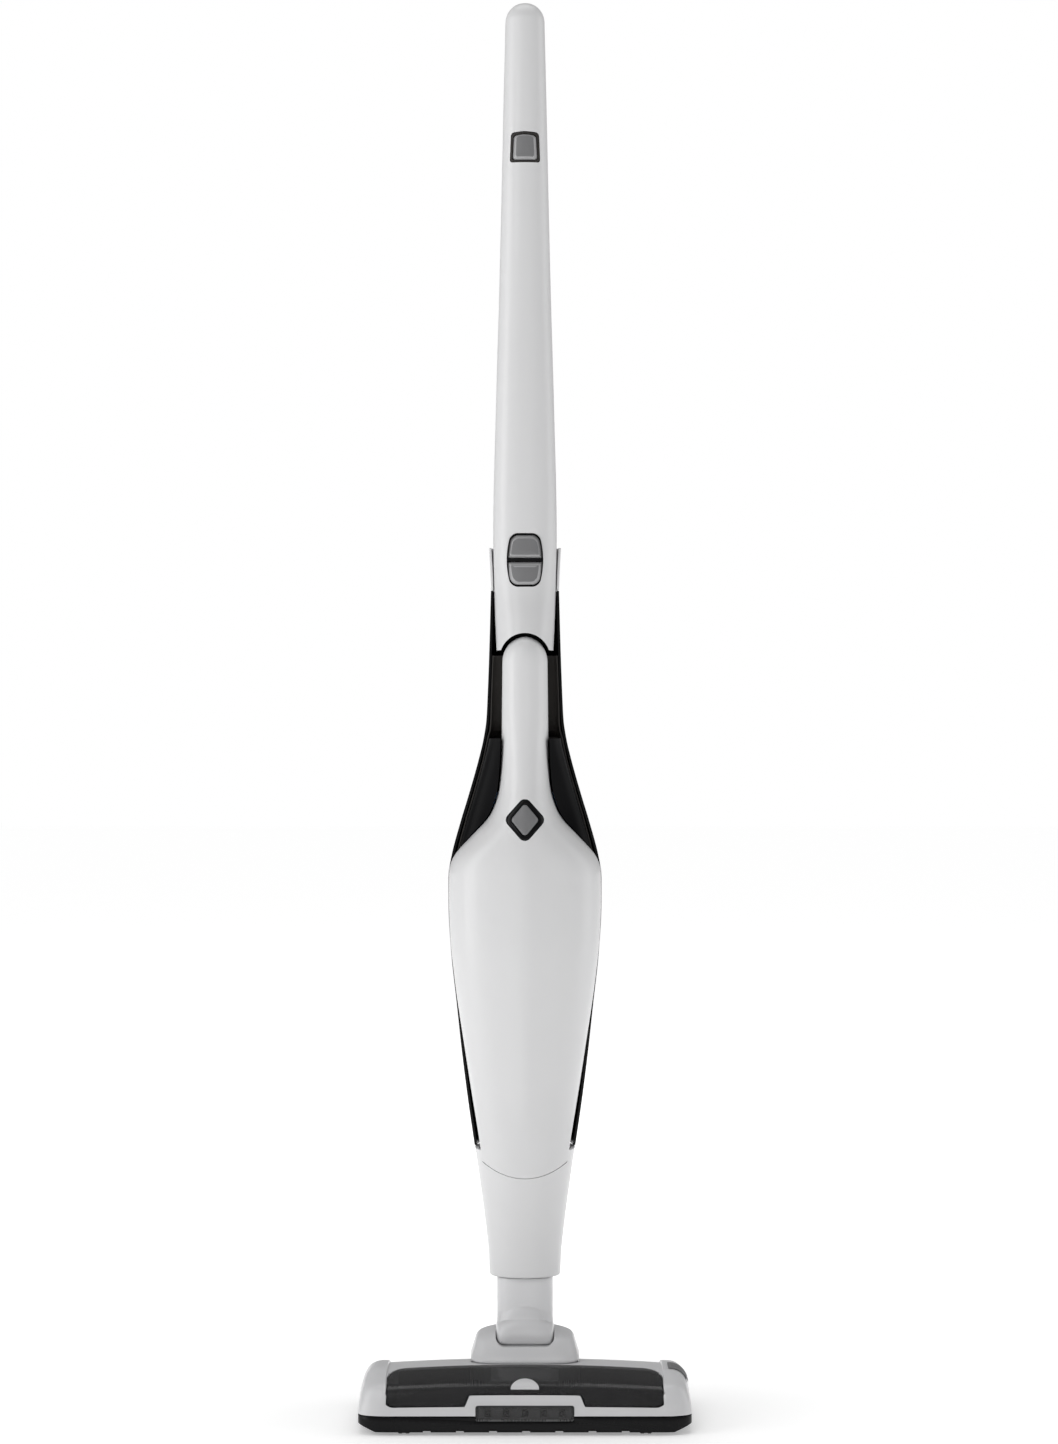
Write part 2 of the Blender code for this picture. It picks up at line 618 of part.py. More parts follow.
def hand_rows(table, side, low, high, roundness, count, between=0, tip=False):
    rows = []
    for z in levels(table, low, high, between):
        half_width, face = interpolate(table, z)
        seam = interpolate(HAND_SEAM, z)[0] + (0.0010 if side > 0 else 0.0)
        if side < 0:
            rows.append(cover_ring(z, half_width, seam, seam - face, count))
        else:
            rows.append(half_ring(z, half_width, seam, face - seam, side, roundness, count))
    if tip:
        half_width, face = interpolate(table, high)
        seam = interpolate(HAND_SEAM, high)[0] + (0.0010 if side > 0 else 0.0)
        for turn in (30, 55, 75):
            shrink = math.cos(math.radians(turn))
            z = high + (HAND_TIP - high) * math.sin(math.radians(turn))
            reach = side * (face - seam) * (0.35 + 0.65 * shrink)
            if side < 0:
                rows.append(cover_ring(z, half_width * shrink, seam, reach, count))
            else:
                rows.append(half_ring(z, half_width * shrink, seam, reach, side, roundness, count))
        rows.append([Vector((0.0, STICK_Y + seam + side * GAP / 2, HAND_TIP))])
    return rows


def below_nose(name):
    """Everything under the nose's curved floor, as a cutter."""
    arc = nose_outline(-GAP)[1:-1]
    return plate(name, [[(0.06, 0.15), (0.06, arc[0][1] + 0.0006), *arc, (-0.06, arc[-1][1] + 0.0006), (-0.06, 0.15)]],
                 -0.10, 0.10, "Y", cutter=True)


def make_hand_unit():
    tip_low = HAND_FRONT[-1][0]
    front = shell("hand_unit_front_cover", hand_rows(HAND_FRONT, -1, 0.185, tip_low, 2.3, 23, tip=True), -1, "white")
    cut(front, below_nose("front_nose_cut"))
    cut(front, plate("diamond_hole", [diamond_outline(0.0032 + GAP)], -0.08, STICK_Y - 0.030, "Y", cutter=True))
    split = 0.3450
    rear = shell("hand_unit_rear_housing", hand_rows(HAND_REAR, 1, split, HAND_REAR[-1][0], 2.4, 13, tip=True),
                 1, "black")
    for row in range(5):
        for side in (-1, 1):
            z = 0.392 + row * 0.009
            vent = block(f"vent_cut_{row}_{'l' if side < 0 else 'r'}", (side * 0.032 - 0.010, STICK_Y + 0.005, z),
                         (side * 0.032 + 0.010, STICK_Y + 0.060, z + 0.0035), cutter=True)
            cut(rear, vent)
    cup = shell("dust_cup", hand_rows(HAND_REAR, 1, 0.185, split - GAP, 2.4, 13), 1, "smoke")
    cut(cup, below_nose("cup_nose_cut"))

    floor_rows = []
    for z in (0.1850, 0.2000, 0.2200):
        half_width, face = interpolate(HAND_FRONT, z)
        rear_width, rear_face = interpolate(HAND_REAR, z)
        floor_rows.append(full_ring(z, rear_width, face, rear_face, 2.3, 28, grow=-0.0030))
    nose = skin("nose_floor", floor_rows, "rubber", ring=True, caps=True)
    boolean(nose, "INTERSECT", plate("nose_band", [nose_strip(-0.0006, 0.0020)], -0.08, 0.08, "Y", cutter=True))
    mouth = (0.0, STICK_Y - 0.006)
    boolean(nose, "UNION", cylinder("mouth_tube", 0.0152, 0.1958, 0.2115, "Z", mouth, cutter=True))
    cut(nose, cylinder("nose_mouth", 0.0135, 0.17, 0.24, "Z", mouth, cutter=True))
    flap = cylinder("inlet_flap", 0.0150, 0.2120, 0.2132, "Z", mouth, "rubber")
    lug = block("flap_lug", (-0.008, STICK_Y + 0.0060, 0.2120), (0.008, STICK_Y + 0.0120, 0.2132), cutter=True)
    boolean(flap, "UNION", lug)

    face = STICK_Y + interpolate(HAND_FRONT, DIAMOND_Z)[1]
    plate("diamond_bezel", [diamond_outline(0.0032), diamond_outline(GAP)], face - 0.0004, face + 0.0060, "Y", "black")
    diamond = plate("hand_unit_power_button", [diamond_outline()], face - 0.0008, face + 0.0070, "Y", "mid_grey")
    soften(diamond, 0.0007)
    block("hand_unit_board", (-0.0095, face + 0.0110, DIAMOND_Z - 0.016),
          (0.0095, face + 0.0126, DIAMOND_Z + 0.010), "board")

    for side, label in ((1, "left"), (-1, "right")):
        make_shoulder_trim(side, label)

    axis = (0.0, STICK_Y - 0.014)
    turned("filter_cone", [(0.0242, 0.0625), (0.0330, 0.0625), (0.0330, 0.0605), (0.0254, 0.0605), (0.0140, 0.0),
                           (0.0, 0.0), (0.0, 0.0012), (0.0131, 0.0012)], "Z", axis, 0.2780, "dark", closed=True)
    cylinder("filter_element", 0.0290, 0.3410, 0.3540, "Z", axis, "foam")
    cylinder("fan_motor", 0.0280, 0.3740, 0.4220, "Z", axis, "steel")
    disc = cylinder("fan_impeller", 0.0265, 0.3580, 0.3600, "Z", axis, "light_grey")
    boolean(disc, "UNION", cylinder("impeller_hub", 0.0070, 0.3590, 0.3700, "Z", axis, cutter=True, sides=16))
    for k in range(7):
        blade = block(f"impeller_blade_{k}", (0.006, -0.0006, 0.3595), (0.0255, 0.0006, 0.3680), cutter=True)
        blade.matrix_world = Matrix.Translation((axis[0], axis[1], 0.0)) @ Matrix.Rotation(k * math.tau / 7, 4, "Z")
        boolean(disc, "UNION", blade)
    battery = cylinder("battery_pack", 0.0090, 0.4320, 0.4970, "Z", (0.0, STICK_Y + 0.004), "cell")
    for x in (-0.0172, 0.0172):
        boolean(battery, "UNION", cylinder(f"battery_cell_{'l' if x < 0 else 'r'}", 0.0090, 0.4320, 0.4970, "Z",
                                           (x, STICK_Y + 0.004), cutter=True))


def make_shoulder_trim(side, label):
    """The black shoulder beside the white cover, where the hand unit widens below its grip."""
    rows = []
    for z in (0.4440, 0.4550, 0.4650, 0.4750, 0.4850, 0.4950, 0.5070, 0.5200, 0.5320, 0.5400):
        outer = interpolate(SPINE, z)[0] - 0.0048
        seam = interpolate(HAND_SEAM, z)[0]
        rows.append(half_ring(z, outer, seam - 0.0002, 0.0190, -1, 2.6, 17))
    trim = skin(f"shoulder_trim_{label}", rows, "black", ring=True, caps=True)
    cover = []
    for z in levels(HAND_FRONT, 0.430, 0.560):
        half_width = interpolate(HAND_FRONT, z)[0]
        cover.append((half_width + 0.0009, z))
    outline = [(-0.07, 0.430), *cover, (-0.07, 0.560)]
    if side < 0:
        outline = [(-x, z) for x, z in reversed(outline)]
    cut(trim, plate(f"shoulder_cut_{label}", [outline], -0.10, 0.10, "Y", cutter=True))


# ---------------------------------------------------------------- floor head
def head_end(x, start, power):
    """How far the head's section shrinks towards its ends: 1 in the middle, 0 at the very end."""
    beyond = (abs(x) - start) / (HEAD_HALF_WIDTH - start)
    return 1.0 if beyond <= 0 else max(0.0, 1 - beyond**power) ** (1 / power)


def head_point(x, along, out=0.0):
    """A point on the head's top surface: along runs from 0 at the front lip to 1 at the rear lip."""
    y, z = head_profile(along)
    rise = head_end(x, 0.112, 2.6)
    depth = 0.80 + 0.20 * head_end(x, 0.106, 2.2)
    middle = -0.005
    crown = 1 - 0.115 * min(1.0, (x / 0.107) ** 2)
    cap = min(1.0, max(0.0, (abs(x) - 0.1078) / 0.0008))
    rise = rise * (crown + 0.060 * cap)
    place = Vector((x, middle + (y - middle) * depth, HEAD_BASE_TOP + 0.0009 + (z - 0.015) * rise))
    if not out:
        return place
    step = 0.002
    da = head_point(x, min(1.0, along + step)) - head_point(x, max(0.0, along - step))
    dx = head_point(min(x + step, 0.1299), along) - head_point(max(x - step, -0.1299), along)
    return place + dx.cross(da).normalized() * out


def head_profile(along):
    """(y, z) on a smooth curve through the head's side profile."""
    table = [(i / (len(HEAD_PROFILE) - 1), y, z) for i, (y, z) in enumerate(HEAD_PROFILE)]
    return interpolate(table, along)


WINDOW_HALF_WIDTH = 0.107
LENS_HALF_WIDTH = 0.0382


def window_limits(x, grow):
    """Where the window starts and ends along the profile, at this x: a raised step in front, bowed behind."""
    step = min(1.0, max(0.0, (0.0478 - grow - abs(x)) / 0.0042))
    low = 0.115 + 0.110 * step - grow * 18
    corner = 0.015
    edge = WINDOW_HALF_WIDTH + grow
    inset = max(0.0, abs(x) - (edge - corner)) / corner
    rounding = 1 - math.sqrt(max(0.0, 1 - inset**2))
    low += 0.035 * max(0.0, (inset - 0.60) / 0.40) ** 2
    high = 0.550 - 0.120 * rounding + grow * 6
    return low, high


def surface_slab(name, xs, limits, inner, outer, steps, finish=None, cutter=False):
    """A curved slab on the head's top surface: inner and outer are its faces' heights over that surface."""
    rows = []
    for x in xs:
        low, high = limits(x)
        top = [head_point(x, low + (high - low) * k / steps, outer) for k in range(steps + 1)]
        bottom = [head_point(x, low + (high - low) * k / steps, inner) for k in range(steps, -1, -1)]
        rows.append(top + bottom)
    return skin(name, rows, finish, cutter, ring=True, caps=True)


def window_patch(name, grow, inner, outer, finish=None, cutter=False):
    edge = WINDOW_HALF_WIDTH + grow
    xs = [inwards - edge for inwards in (0.0, 0.0006, 0.0020, 0.0045, 0.0080, 0.0120, 0.0150, 0.0280, 0.0440)]
    xs += [-0.0479 + grow, -0.0437 + grow, -0.022, 0.0]
    xs += [-x for x in reversed(xs[:-1])]
    return surface_slab(name, xs, lambda x: window_limits(x, grow), inner, outer, 8, finish, cutter)


def make_head_shells():
    xs = [0.0, 0.030, 0.060, 0.085, 0.1015, 0.1078, 0.1086, 0.114, 0.119, 0.1235, 0.127, 0.1292, 0.130]
    xs = [-x for x in reversed(xs[1:])] + xs
    steps = 18
    rows = [[head_point(x, k / steps) for k in range(steps + 1)] for x in xs]
    top = skin("head_top_frame", rows, "light_grey", flip=True)
    modifier(top, "SOLIDIFY", thickness=0.0020, offset=-1.0)
    cut(top, window_patch("window_opening", 0.0009, -0.012, 0.006, cutter=True))
    lens_hole = plate("lens_hole", [rounded(rectangle(2 * LENS_HALF_WIDTH + 0.001, 0.0132, 0.0, 0.0167), 0.002)],
                      HEAD_FRONT - 0.01, HEAD_FRONT + 0.0082, "Y", cutter=True)
    yoke_hole = block("yoke_hole", (-0.0430, -0.0130, 0.018), (0.0430, 0.0465, 0.060), cutter=True)
    fold_slot = block("fold_slot", (-0.0246, 0.020, 0.008), (0.0246, 0.080, 0.060), cutter=True)
    cut(top, lens_hole, yoke_hole, fold_slot)
    for side, label in ((-1, "left"), (1, "right")):
        x = side * REAR_WHEEL_X
        well = block(f"wheel_well_{label}", (x - 0.0075, 0.0345, -0.01), (x + 0.0075, 0.080, 0.0310), cutter=True)
        cut(top, well)

    bends = [0.106, 0.112, 0.117, 0.1215, 0.1255, 0.1285, 0.130]
    bends = [-x for x in reversed(bends)] + bends
    corners = [(x, head_point(x, 0.0).y) for x in bends] + [(x, head_point(x, 1.0).y) for x in reversed(bends)]
    base = plate("head_base", [corners], HEAD_BASE_BOTTOM, HEAD_BASE_TOP, "Z", "black")
    inner = [(x * 0.978, y * 0.955) for x, y in corners]
    cut(base, plate("base_pocket", [inner], 0.0050, 0.030, "Z", cutter=True))
    mouth = plate("brush_mouth", [rounded(rectangle(0.212, 0.0385, 0.0, -0.0365), 0.004)], -0.01, 0.03, "Z", cutter=True)
    cut(base, mouth, lens_hole)
    for side, label in ((-1, "left"), (1, "right")):
        x = side * REAR_WHEEL_X
        cut(base, bpy.data.objects[f"wheel_well_{label}"])
        x = side * ROLLER_X
        cut(base, block(f"roller_well_{label}", (x - 0.0068, -0.0640, -0.01), (x + 0.0068, -0.0528, 0.030), cutter=True))
        chamfer = plate(f"end_chamfer_{label}", [[(side * 0.116, -0.001), (side * 0.116, HEAD_BASE_BOTTOM),
                        (side * 0.1310, 0.0085), (side * 0.1310, -0.001)][::side]], -0.10, 0.10, "Y", cutter=True)
        cut(base, chamfer)
    for k in range(-3, 4):
        x = k * 0.0257 + 0.001
        cut(base, block(f"comb_cut_{k + 4}", (x - 0.003, -0.080, -0.01), (x + 0.003, -0.0615, 0.0052), cutter=True))
    axle_groove = block("axle_groove", (-0.110, REAR_WHEEL_Y - 0.0024, 0.0120), (0.110, REAR_WHEEL_Y + 0.0024, 0.0300),
                        cutter=True)
    cut(base, axle_groove)
    cut(base, block("base_fold_slot", (-0.0246, 0.0465, 0.0105), (0.0246, 0.080, 0.060), cutter=True))
    block("rear_felt_strip", (-0.0950, -0.0100, 0.0), (0.0950, -0.0050, HEAD_BASE_BOTTOM - 0.0003), "rubber")


def tab_patch(name, grow, inner, outer, finish=None, cutter=False):
    """The half-disc tab at the window's front edge."""
    radius = 0.0110 + grow
    xs = [radius * math.sin(math.radians(a)) for a in range(-90, 91, 15)]

    def limits(x):
        rise = 0.105 * math.sqrt(max(0.0, 1 - (x / radius) ** 2))
        return 0.272 - grow * 14, 0.280 + rise + grow * 10

    return surface_slab(name, xs, limits, inner, outer, 3, finish, cutter)


def make_head_window():
    window = window_patch("brush_window", 0.0, -0.0016, 0.0003, "smoke")
    cut(window, tab_patch("tab_hole", 0.0005, -0.008, 0.008, cutter=True))
    tab_patch("window_release_tab", 0.0, -0.0008, 0.0014, "light_grey")


def make_head_lights():
    lens = plate("headlight_lens", [rounded(rectangle(2 * LENS_HALF_WIDTH, 0.0122, 0.0, 0.0167), 0.0018)],
                 HEAD_FRONT, HEAD_FRONT + 0.0016, "Y", "smoke")
    soften(lens, 0.0004)
    board = block("headlight_board", (-0.034, HEAD_FRONT + 0.0060, 0.0115), (0.034, HEAD_FRONT + 0.0070, 0.0215), "board")
    for k in range(5):
        x = (k - 2) * 0.0145
        lamp = block(f"lamp_{k}", (x - 0.002, HEAD_FRONT + 0.0040, 0.0145), (x + 0.002, HEAD_FRONT + 0.0065, 0.0190),
                     cutter=True)
        boolean(board, "UNION", lamp)


def make_brush_drive():
    centre = (BRUSH_Y, BRUSH_Z)
    core = cylinder("brush_core", BRUSH_CORE - 0.0015, -0.1020, 0.1090, "X", centre, "dark", sides=24)
    shaft = cylinder("brush_shaft", 0.0030, -0.1050, 0.1120, "X", centre, cutter=True, sides=12)
    boolean(core, "UNION", shaft)
    sleeve = tube("bristle_sleeve", BRUSH_CORE, BRUSH_CORE - 0.0012, -0.1000, 0.0960, "X", centre, "bristle")
    inner, outer = BRUSH_CORE - 0.0006, BRUSH_RADIUS
    rows_in_helix = 17
    for k in range(4):
        rows = []
        for i in range(rows_in_helix):
            x = -0.0980 + 0.1920 * i / (rows_in_helix - 1)
            turn = math.tau * k / 4 + math.radians(150) * abs(2 * i / (rows_in_helix - 1) - 1)
            ring = []
            for radius, offset in ((inner, -0.0016), (outer, -0.0010), (outer, 0.0010), (inner, 0.0016)):
                a = turn + offset / radius
                ring.append(Vector((x, BRUSH_Y + radius * math.cos(a), BRUSH_Z + radius * math.sin(a))))
            rows.append(ring)
        boolean(sleeve, "UNION", skin(f"bristle_row_{k + 1}", rows, cutter=True, ring=True, caps=True))
    motor = (MOTOR_Y, MOTOR_Z)
    cylinder("brush_motor", 0.0115, 0.0470, 0.0960, "X", motor, "steel")
    pinion = cylinder("motor_pinion", 0.0050, 0.1005, 0.1090, "X", motor, "steel", sides=16)
    boolean(pinion, "UNION", cylinder("pinion_shaft", 0.0015, 0.0965, 0.1020, "X", motor, cutter=True, sides=12))
    outer_loop = belt_loop(0.0012 + 0.0003)
    inner_loop = belt_loop(0.0003)
    plate("drive_belt", [outer_loop, inner_loop], 0.1015, 0.1080, "X", "rubber")


def belt_loop(grow):
    """The belt's path round its two pulleys, in (y, z)."""
    big, small = BRUSH_CORE - 0.0015 + grow, 0.0050 + grow
    a, b = Vector((BRUSH_Y, BRUSH_Z)), Vector((MOTOR_Y, MOTOR_Z))
    line = b - a
    heading = math.atan2(line.y, line.x)
    lean = math.acos((big - small) / line.length)
    points = []
    for centre, radius, start, end in ((a, big, lean, math.tau - lean), (b, small, -lean, lean)):
        for k in range(11):
            turn = heading + start + (end - start) * k / 10
            points.append((centre.x + radius * math.cos(turn), centre.y + radius * math.sin(turn)))
    return points


def make_head_wheels():
    for side, label in ((-1, "left"), (1, "right")):
        x = side * REAR_WHEEL_X
        wheel = tube(f"rear_wheel_{label}", REAR_WHEEL_RADIUS, 0.0023, x - 0.0058, x + 0.0058, "X",
                     (REAR_WHEEL_Y, REAR_WHEEL_RADIUS), "rubber", sides=32)
        soften(wheel, 0.0008)
        x = side * ROLLER_X
        roller = cylinder(f"front_roller_{label}", ROLLER_RADIUS, x - 0.0045, x + 0.0045, "X",
                          (ROLLER_Y, ROLLER_RADIUS), "dark", sides=20)
        boolean(roller, "UNION", cylinder(f"roller_stub_{label}", 0.0012, x - 0.0062, x + 0.0062, "X",
                                          (ROLLER_Y, ROLLER_RADIUS), cutter=True, sides=10))
    cylinder("rear_axle", 0.0019, -0.1000, 0.1000, "X", (REAR_WHEEL_Y, REAR_WHEEL_RADIUS), "steel", sides=12)


def make_brush_release():
    """The ridged slider let into the right shoulder of the head."""
    xs = (0.1125, 0.1160, 0.1190, 0.1218, 0.1243, 0.1264, 0.1278)
    surface_slab("brush_release_slider", xs, lambda x: (0.520, 0.620), 0.0006, 0.0016, 4, "mid_grey")


# ---------------------------------------------------------------- neck and its housing
def make_neck():
    pivot = (STICK_Y, PIVOT_Z)
    rows = [full_ring(z, 0.0223, -0.0195, 0.0195, 3.0, 24) for z in (0.0480, 0.1114)]
    neck = skin("neck_tube", rows, "light_grey", ring=True, caps=True)
    boolean(neck, "UNION",
            cylinder("knuckle", KNUCKLE_RADIUS, -KNUCKLE_HALF_WIDTH, KNUCKLE_HALF_WIDTH, "X", pivot, cutter=True, sides=32),
            cylinder("neck_spigot", 0.0190, 0.1104, 0.1335, "Z", (0.0, STICK_Y), cutter=True))
    cut(neck, cylinder("neck_bore", 0.0150, PIVOT_Z - 0.004, 0.20, "Z", (0.0, STICK_Y), cutter=True),
        cylinder("knuckle_port", 0.0110, -0.05, STICK_Y, "Y", (0.0, 0.0390), cutter=True),
        cylinder("pin_bore", 0.0053, -0.05, 0.05, "X", pivot, cutter=True, sides=16))

    table = [(0.0180, 0.0425, -0.0124, 0.0460), (0.0469, 0.0425, -0.0124, 0.0460), (0.0475, 0.0428, -0.0225, 0.0460),
             (0.0500, 0.0424, -0.0218, 0.0456), (0.0560, 0.0406, -0.0170, 0.0442), (0.0620, 0.0388, -0.0128, 0.0422),
             (0.0650, 0.0368, -0.0100, 0.0400), (0.0672, 0.0325, -0.0070, 0.0365), (0.0688, 0.0262, -0.0030, 0.0320)]
    rows = [full_ring(z, width, front - STICK_Y, rear - STICK_Y, 4.5, 28) for z, width, front, rear in table]
    yoke = skin("swivel_housing", rows, "light_grey", ring=True, caps=True)
    half = KNUCKLE_HALF_WIDTH + 0.0006
    knuckle_room = cylinder("knuckle_room", KNUCKLE_RADIUS + 0.0006, -half, half, "X", pivot, cutter=True, sides=32)
    neck_room = block("neck_room", (-half, STICK_Y - 0.0203, 0.0500), (half, 0.080, 0.080), cutter=True)
    fold_room = block("fold_room", (-half, STICK_Y, 0.0225), (half, 0.080, 0.080), cutter=True)
    apron_top = block("apron_top", (-half, -0.050, 0.0590), (half, STICK_Y - 0.015, 0.080), cutter=True)
    port = block("housing_port", (-0.0150, -0.030, 0.0260), (0.0150, STICK_Y - 0.010, 0.0420), cutter=True)
    pins = cylinder("pin_holes", 0.0053, -0.0400, 0.0400, "X", pivot, cutter=True, sides=16)
    cut(yoke, knuckle_room, neck_room, fold_room, apron_top, port, pins)
    for side, label in ((-1, "left"), (1, "right")):
        low, high = sorted((side * 0.0172, side * 0.0385))
        cylinder(f"pivot_pin_{label}", 0.0050, low, high, "X", pivot, "steel", sides=16)
    duct = block("suction_mouth_duct", (-0.0270, -0.0165, 0.0100), (0.0270, -0.0142, 0.0415), "mid_grey")
    cut(duct, block("duct_opening", (-0.0150, -0.030, 0.0180), (0.0150, 0.0, 0.0360), cutter=True))


make_upper_handle()
make_stick_body()
make_hand_unit()
make_head_shells()
make_head_window()
make_head_lights()
make_brush_drive()
make_head_wheels()
make_brush_release()
make_neck()
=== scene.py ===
import json
import math

import bmesh
import bpy
from mathutils import Matrix, Vector

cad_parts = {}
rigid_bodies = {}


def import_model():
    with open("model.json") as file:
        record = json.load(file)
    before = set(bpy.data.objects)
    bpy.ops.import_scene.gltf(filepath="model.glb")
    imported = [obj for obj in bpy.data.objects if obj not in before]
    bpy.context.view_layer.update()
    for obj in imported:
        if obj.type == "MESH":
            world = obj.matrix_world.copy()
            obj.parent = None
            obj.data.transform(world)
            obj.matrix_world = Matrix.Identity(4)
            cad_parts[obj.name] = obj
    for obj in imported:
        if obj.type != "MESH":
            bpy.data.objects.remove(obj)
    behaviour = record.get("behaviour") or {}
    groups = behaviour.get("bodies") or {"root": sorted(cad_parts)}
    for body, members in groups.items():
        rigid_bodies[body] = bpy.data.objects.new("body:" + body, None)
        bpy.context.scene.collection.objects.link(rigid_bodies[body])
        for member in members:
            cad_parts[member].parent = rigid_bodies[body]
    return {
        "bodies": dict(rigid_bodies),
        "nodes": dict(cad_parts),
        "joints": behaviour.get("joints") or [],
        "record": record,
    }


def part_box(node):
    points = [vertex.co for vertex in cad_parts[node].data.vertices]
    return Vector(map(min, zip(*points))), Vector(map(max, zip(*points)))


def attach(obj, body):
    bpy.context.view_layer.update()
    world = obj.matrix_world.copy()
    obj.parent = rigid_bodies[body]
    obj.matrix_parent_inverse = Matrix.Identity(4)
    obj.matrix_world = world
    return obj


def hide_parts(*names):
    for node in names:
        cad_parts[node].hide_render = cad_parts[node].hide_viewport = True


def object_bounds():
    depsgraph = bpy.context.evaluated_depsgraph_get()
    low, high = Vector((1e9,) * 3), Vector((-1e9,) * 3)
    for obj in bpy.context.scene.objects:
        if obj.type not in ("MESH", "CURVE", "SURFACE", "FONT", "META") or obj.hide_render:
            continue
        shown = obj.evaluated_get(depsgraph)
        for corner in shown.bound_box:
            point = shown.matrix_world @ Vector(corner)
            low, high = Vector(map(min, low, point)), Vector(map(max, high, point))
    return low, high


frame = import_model()
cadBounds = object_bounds()


# the two corners of a CAD node, to the hundredth of a millimetre
def nodeCorners(node):
    return [[round(value, 5) for value in corner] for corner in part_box(node)]


def nodeMiddle(node):
    return [round((a + b) / 2, 5) for a, b in zip(*nodeCorners(node))]


stickY = nodeMiddle("neck_tube")[1]  # the stick's axis, behind the origin
print("frame loaded")


# camera, floor and light
view = {"place": (0.0032, -2.4755, 0.553), "lens": 77.53, "sensor": 36.0}


def makeCamera():
    data = bpy.data.cameras.new("camera")
    data.sensor_fit = "VERTICAL"
    data.sensor_height = view["sensor"]
    data.lens = view["lens"]
    data.clip_end = 60
    camera = bpy.data.objects.new("camera", data)
    camera.location = view["place"]
    camera.rotation_euler = (math.radians(90), 0, 0)
    bpy.context.scene.collection.objects.link(camera)
    bpy.context.scene.camera = camera


makeCamera()
print("camera placed")


# a socket that takes part in sums: each operator adds a Math node
class Num:
    def __init__(self, look, socket):
        self.look = look
        self.socket = socket

    def math(self, operation, first, *others):
        sockets = dict(enumerate((first, *others)))
        return self.look.add("ShaderNodeMath", {"operation": operation}, sockets)

    def __add__(self, other):
        return self.math("ADD", self, other)

    def __radd__(self, other):
        return self.math("ADD", other, self)

    def __sub__(self, other):
        return self.math("SUBTRACT", self, other)

    def __rsub__(self, other):
        return self.math("SUBTRACT", other, self)

    def __mul__(self, other):
        return self.math("MULTIPLY", self, other)

    def __rmul__(self, other):
        return self.math("MULTIPLY", other, self)

    def __truediv__(self, other):
        return self.math("DIVIDE", self, other)

    def __pow__(self, other):
        return self.math("POWER", self, other)


class Look:
    def __init__(self, name):
        self.material = bpy.data.materials.new(name)
        self.material.use_nodes = True
        self.tree = self.material.node_tree
        self.tree.nodes.clear()

    # one node: its settings first, then the values or links of its sockets
    def add(self, kind, settings=None, sockets=None, out=0):
        node = self.tree.nodes.new(kind)
        for key, value in (settings or {}).items():
            if key == "stops":
                ramp = node.color_ramp
                while len(ramp.elements) < len(value):
                    ramp.elements.new(0.5)
                for element, (place, colour) in zip(ramp.elements, value):
                    element.position = place
                    element.color = colour
            else:
                setattr(node, key, value)
        for key, value in (sockets or {}).items():
            if isinstance(value, Num):
                self.tree.links.new(value.socket, node.inputs[key])
            else:
                node.inputs[key].default_value = value
        return Num(self, node.outputs[out])

    def where(self):
        return self.add("ShaderNodeTexCoord", out="Object")

    def noise(self, scale, detail=2.0, roughness=0.5, at=None):
        sockets = {"Vector": at or self.where(), "Scale": scale, "Detail": detail, "Roughness": roughness}
        return self.add("ShaderNodeTexNoise", None, sockets, out="Fac")

    def fit(self, value, low, high, toLow, toHigh):
        sockets = {"Value": value, "From Min": low, "From Max": high, "To Min": toLow, "To Max": toHigh}
        return self.add("ShaderNodeMapRange", {"clamp": True}, sockets)

    def blendColour(self, factor, first, second):
        settings = {"data_type": "RGBA", "blend_type": "MIX"}
        return self.add("ShaderNodeMix", settings, {0: factor, 6: first, 7: second}, out=2)

    def bump(self, height, strength, distance, under=None):
        sockets = {"Height": height, "Strength": strength, "Distance": distance}
        if under:
            sockets["Normal"] = under
        return self.add("ShaderNodeBump", None, sockets)

    def edge(self):
        # pointiness: high on convex edges, where the surface turns outwards; it masks the painted edge highlight
        return self.add("ShaderNodeNewGeometry", out="Pointiness")

    def finish(self, **sockets):
        named = {key.replace("_", " "): value for key, value in sockets.items()}
        shader = self.add("ShaderNodeBsdfPrincipled", None, named)
        out = self.tree.nodes.new("ShaderNodeOutputMaterial")
        self.tree.links.new(shader.socket, out.inputs["Surface"])
        return self.material


# moulded plastic: faint flow variation in colour and gloss, orange peel or spark texture in the surface, a painted
# highlight on convex edges
def mouldedPlastic(name, colour, roughness, peel=0.06, grain=0.0, coat=0.0, tint=0.04, alpha=1.0, spread=0.06,
                   specular=0.5, edgeHighlightGain=1.12):
    look = Look(name)
    flow = look.noise(9.0, 3.0, 0.55)
    cloud = look.noise(60.0, 4.0, 0.6)
    fine = look.noise(900.0, 2.0, 0.5)
    dark = tuple(c * (1 - tint) for c in colour)
    base = look.blendColour(look.fit(flow * 0.6 + cloud * 0.4, 0.35, 0.65, 0, 1), (*dark, 1), (*colour, 1))
    # convex edges get a paler base colour, a painted highlight, and a little more roughness
    edgeHighlightAndWear = look.fit(look.edge(), 0.53, 0.62, 0.0, 1.0)
    bright = tuple(min(1.0, c * edgeHighlightGain + 0.004) for c in colour)
    base = look.blendColour(edgeHighlightAndWear * 0.5, base, (*bright, 1))
    rough = roughness + (cloud - 0.5) * spread + (fine - 0.5) * (0.04 + grain * 0.25) + edgeHighlightAndWear * 0.08
    normal = look.bump(look.noise(260.0, 1.0), peel, 0.0004)
    if grain:
        normal = look.bump(fine, grain, 0.0003, normal)
    return look.finish(Base_Color=base, Roughness=rough, Normal=normal, Coat_Weight=coat, Coat_Roughness=0.08,
                       Alpha=alpha, Specular_IOR_Level=specular)
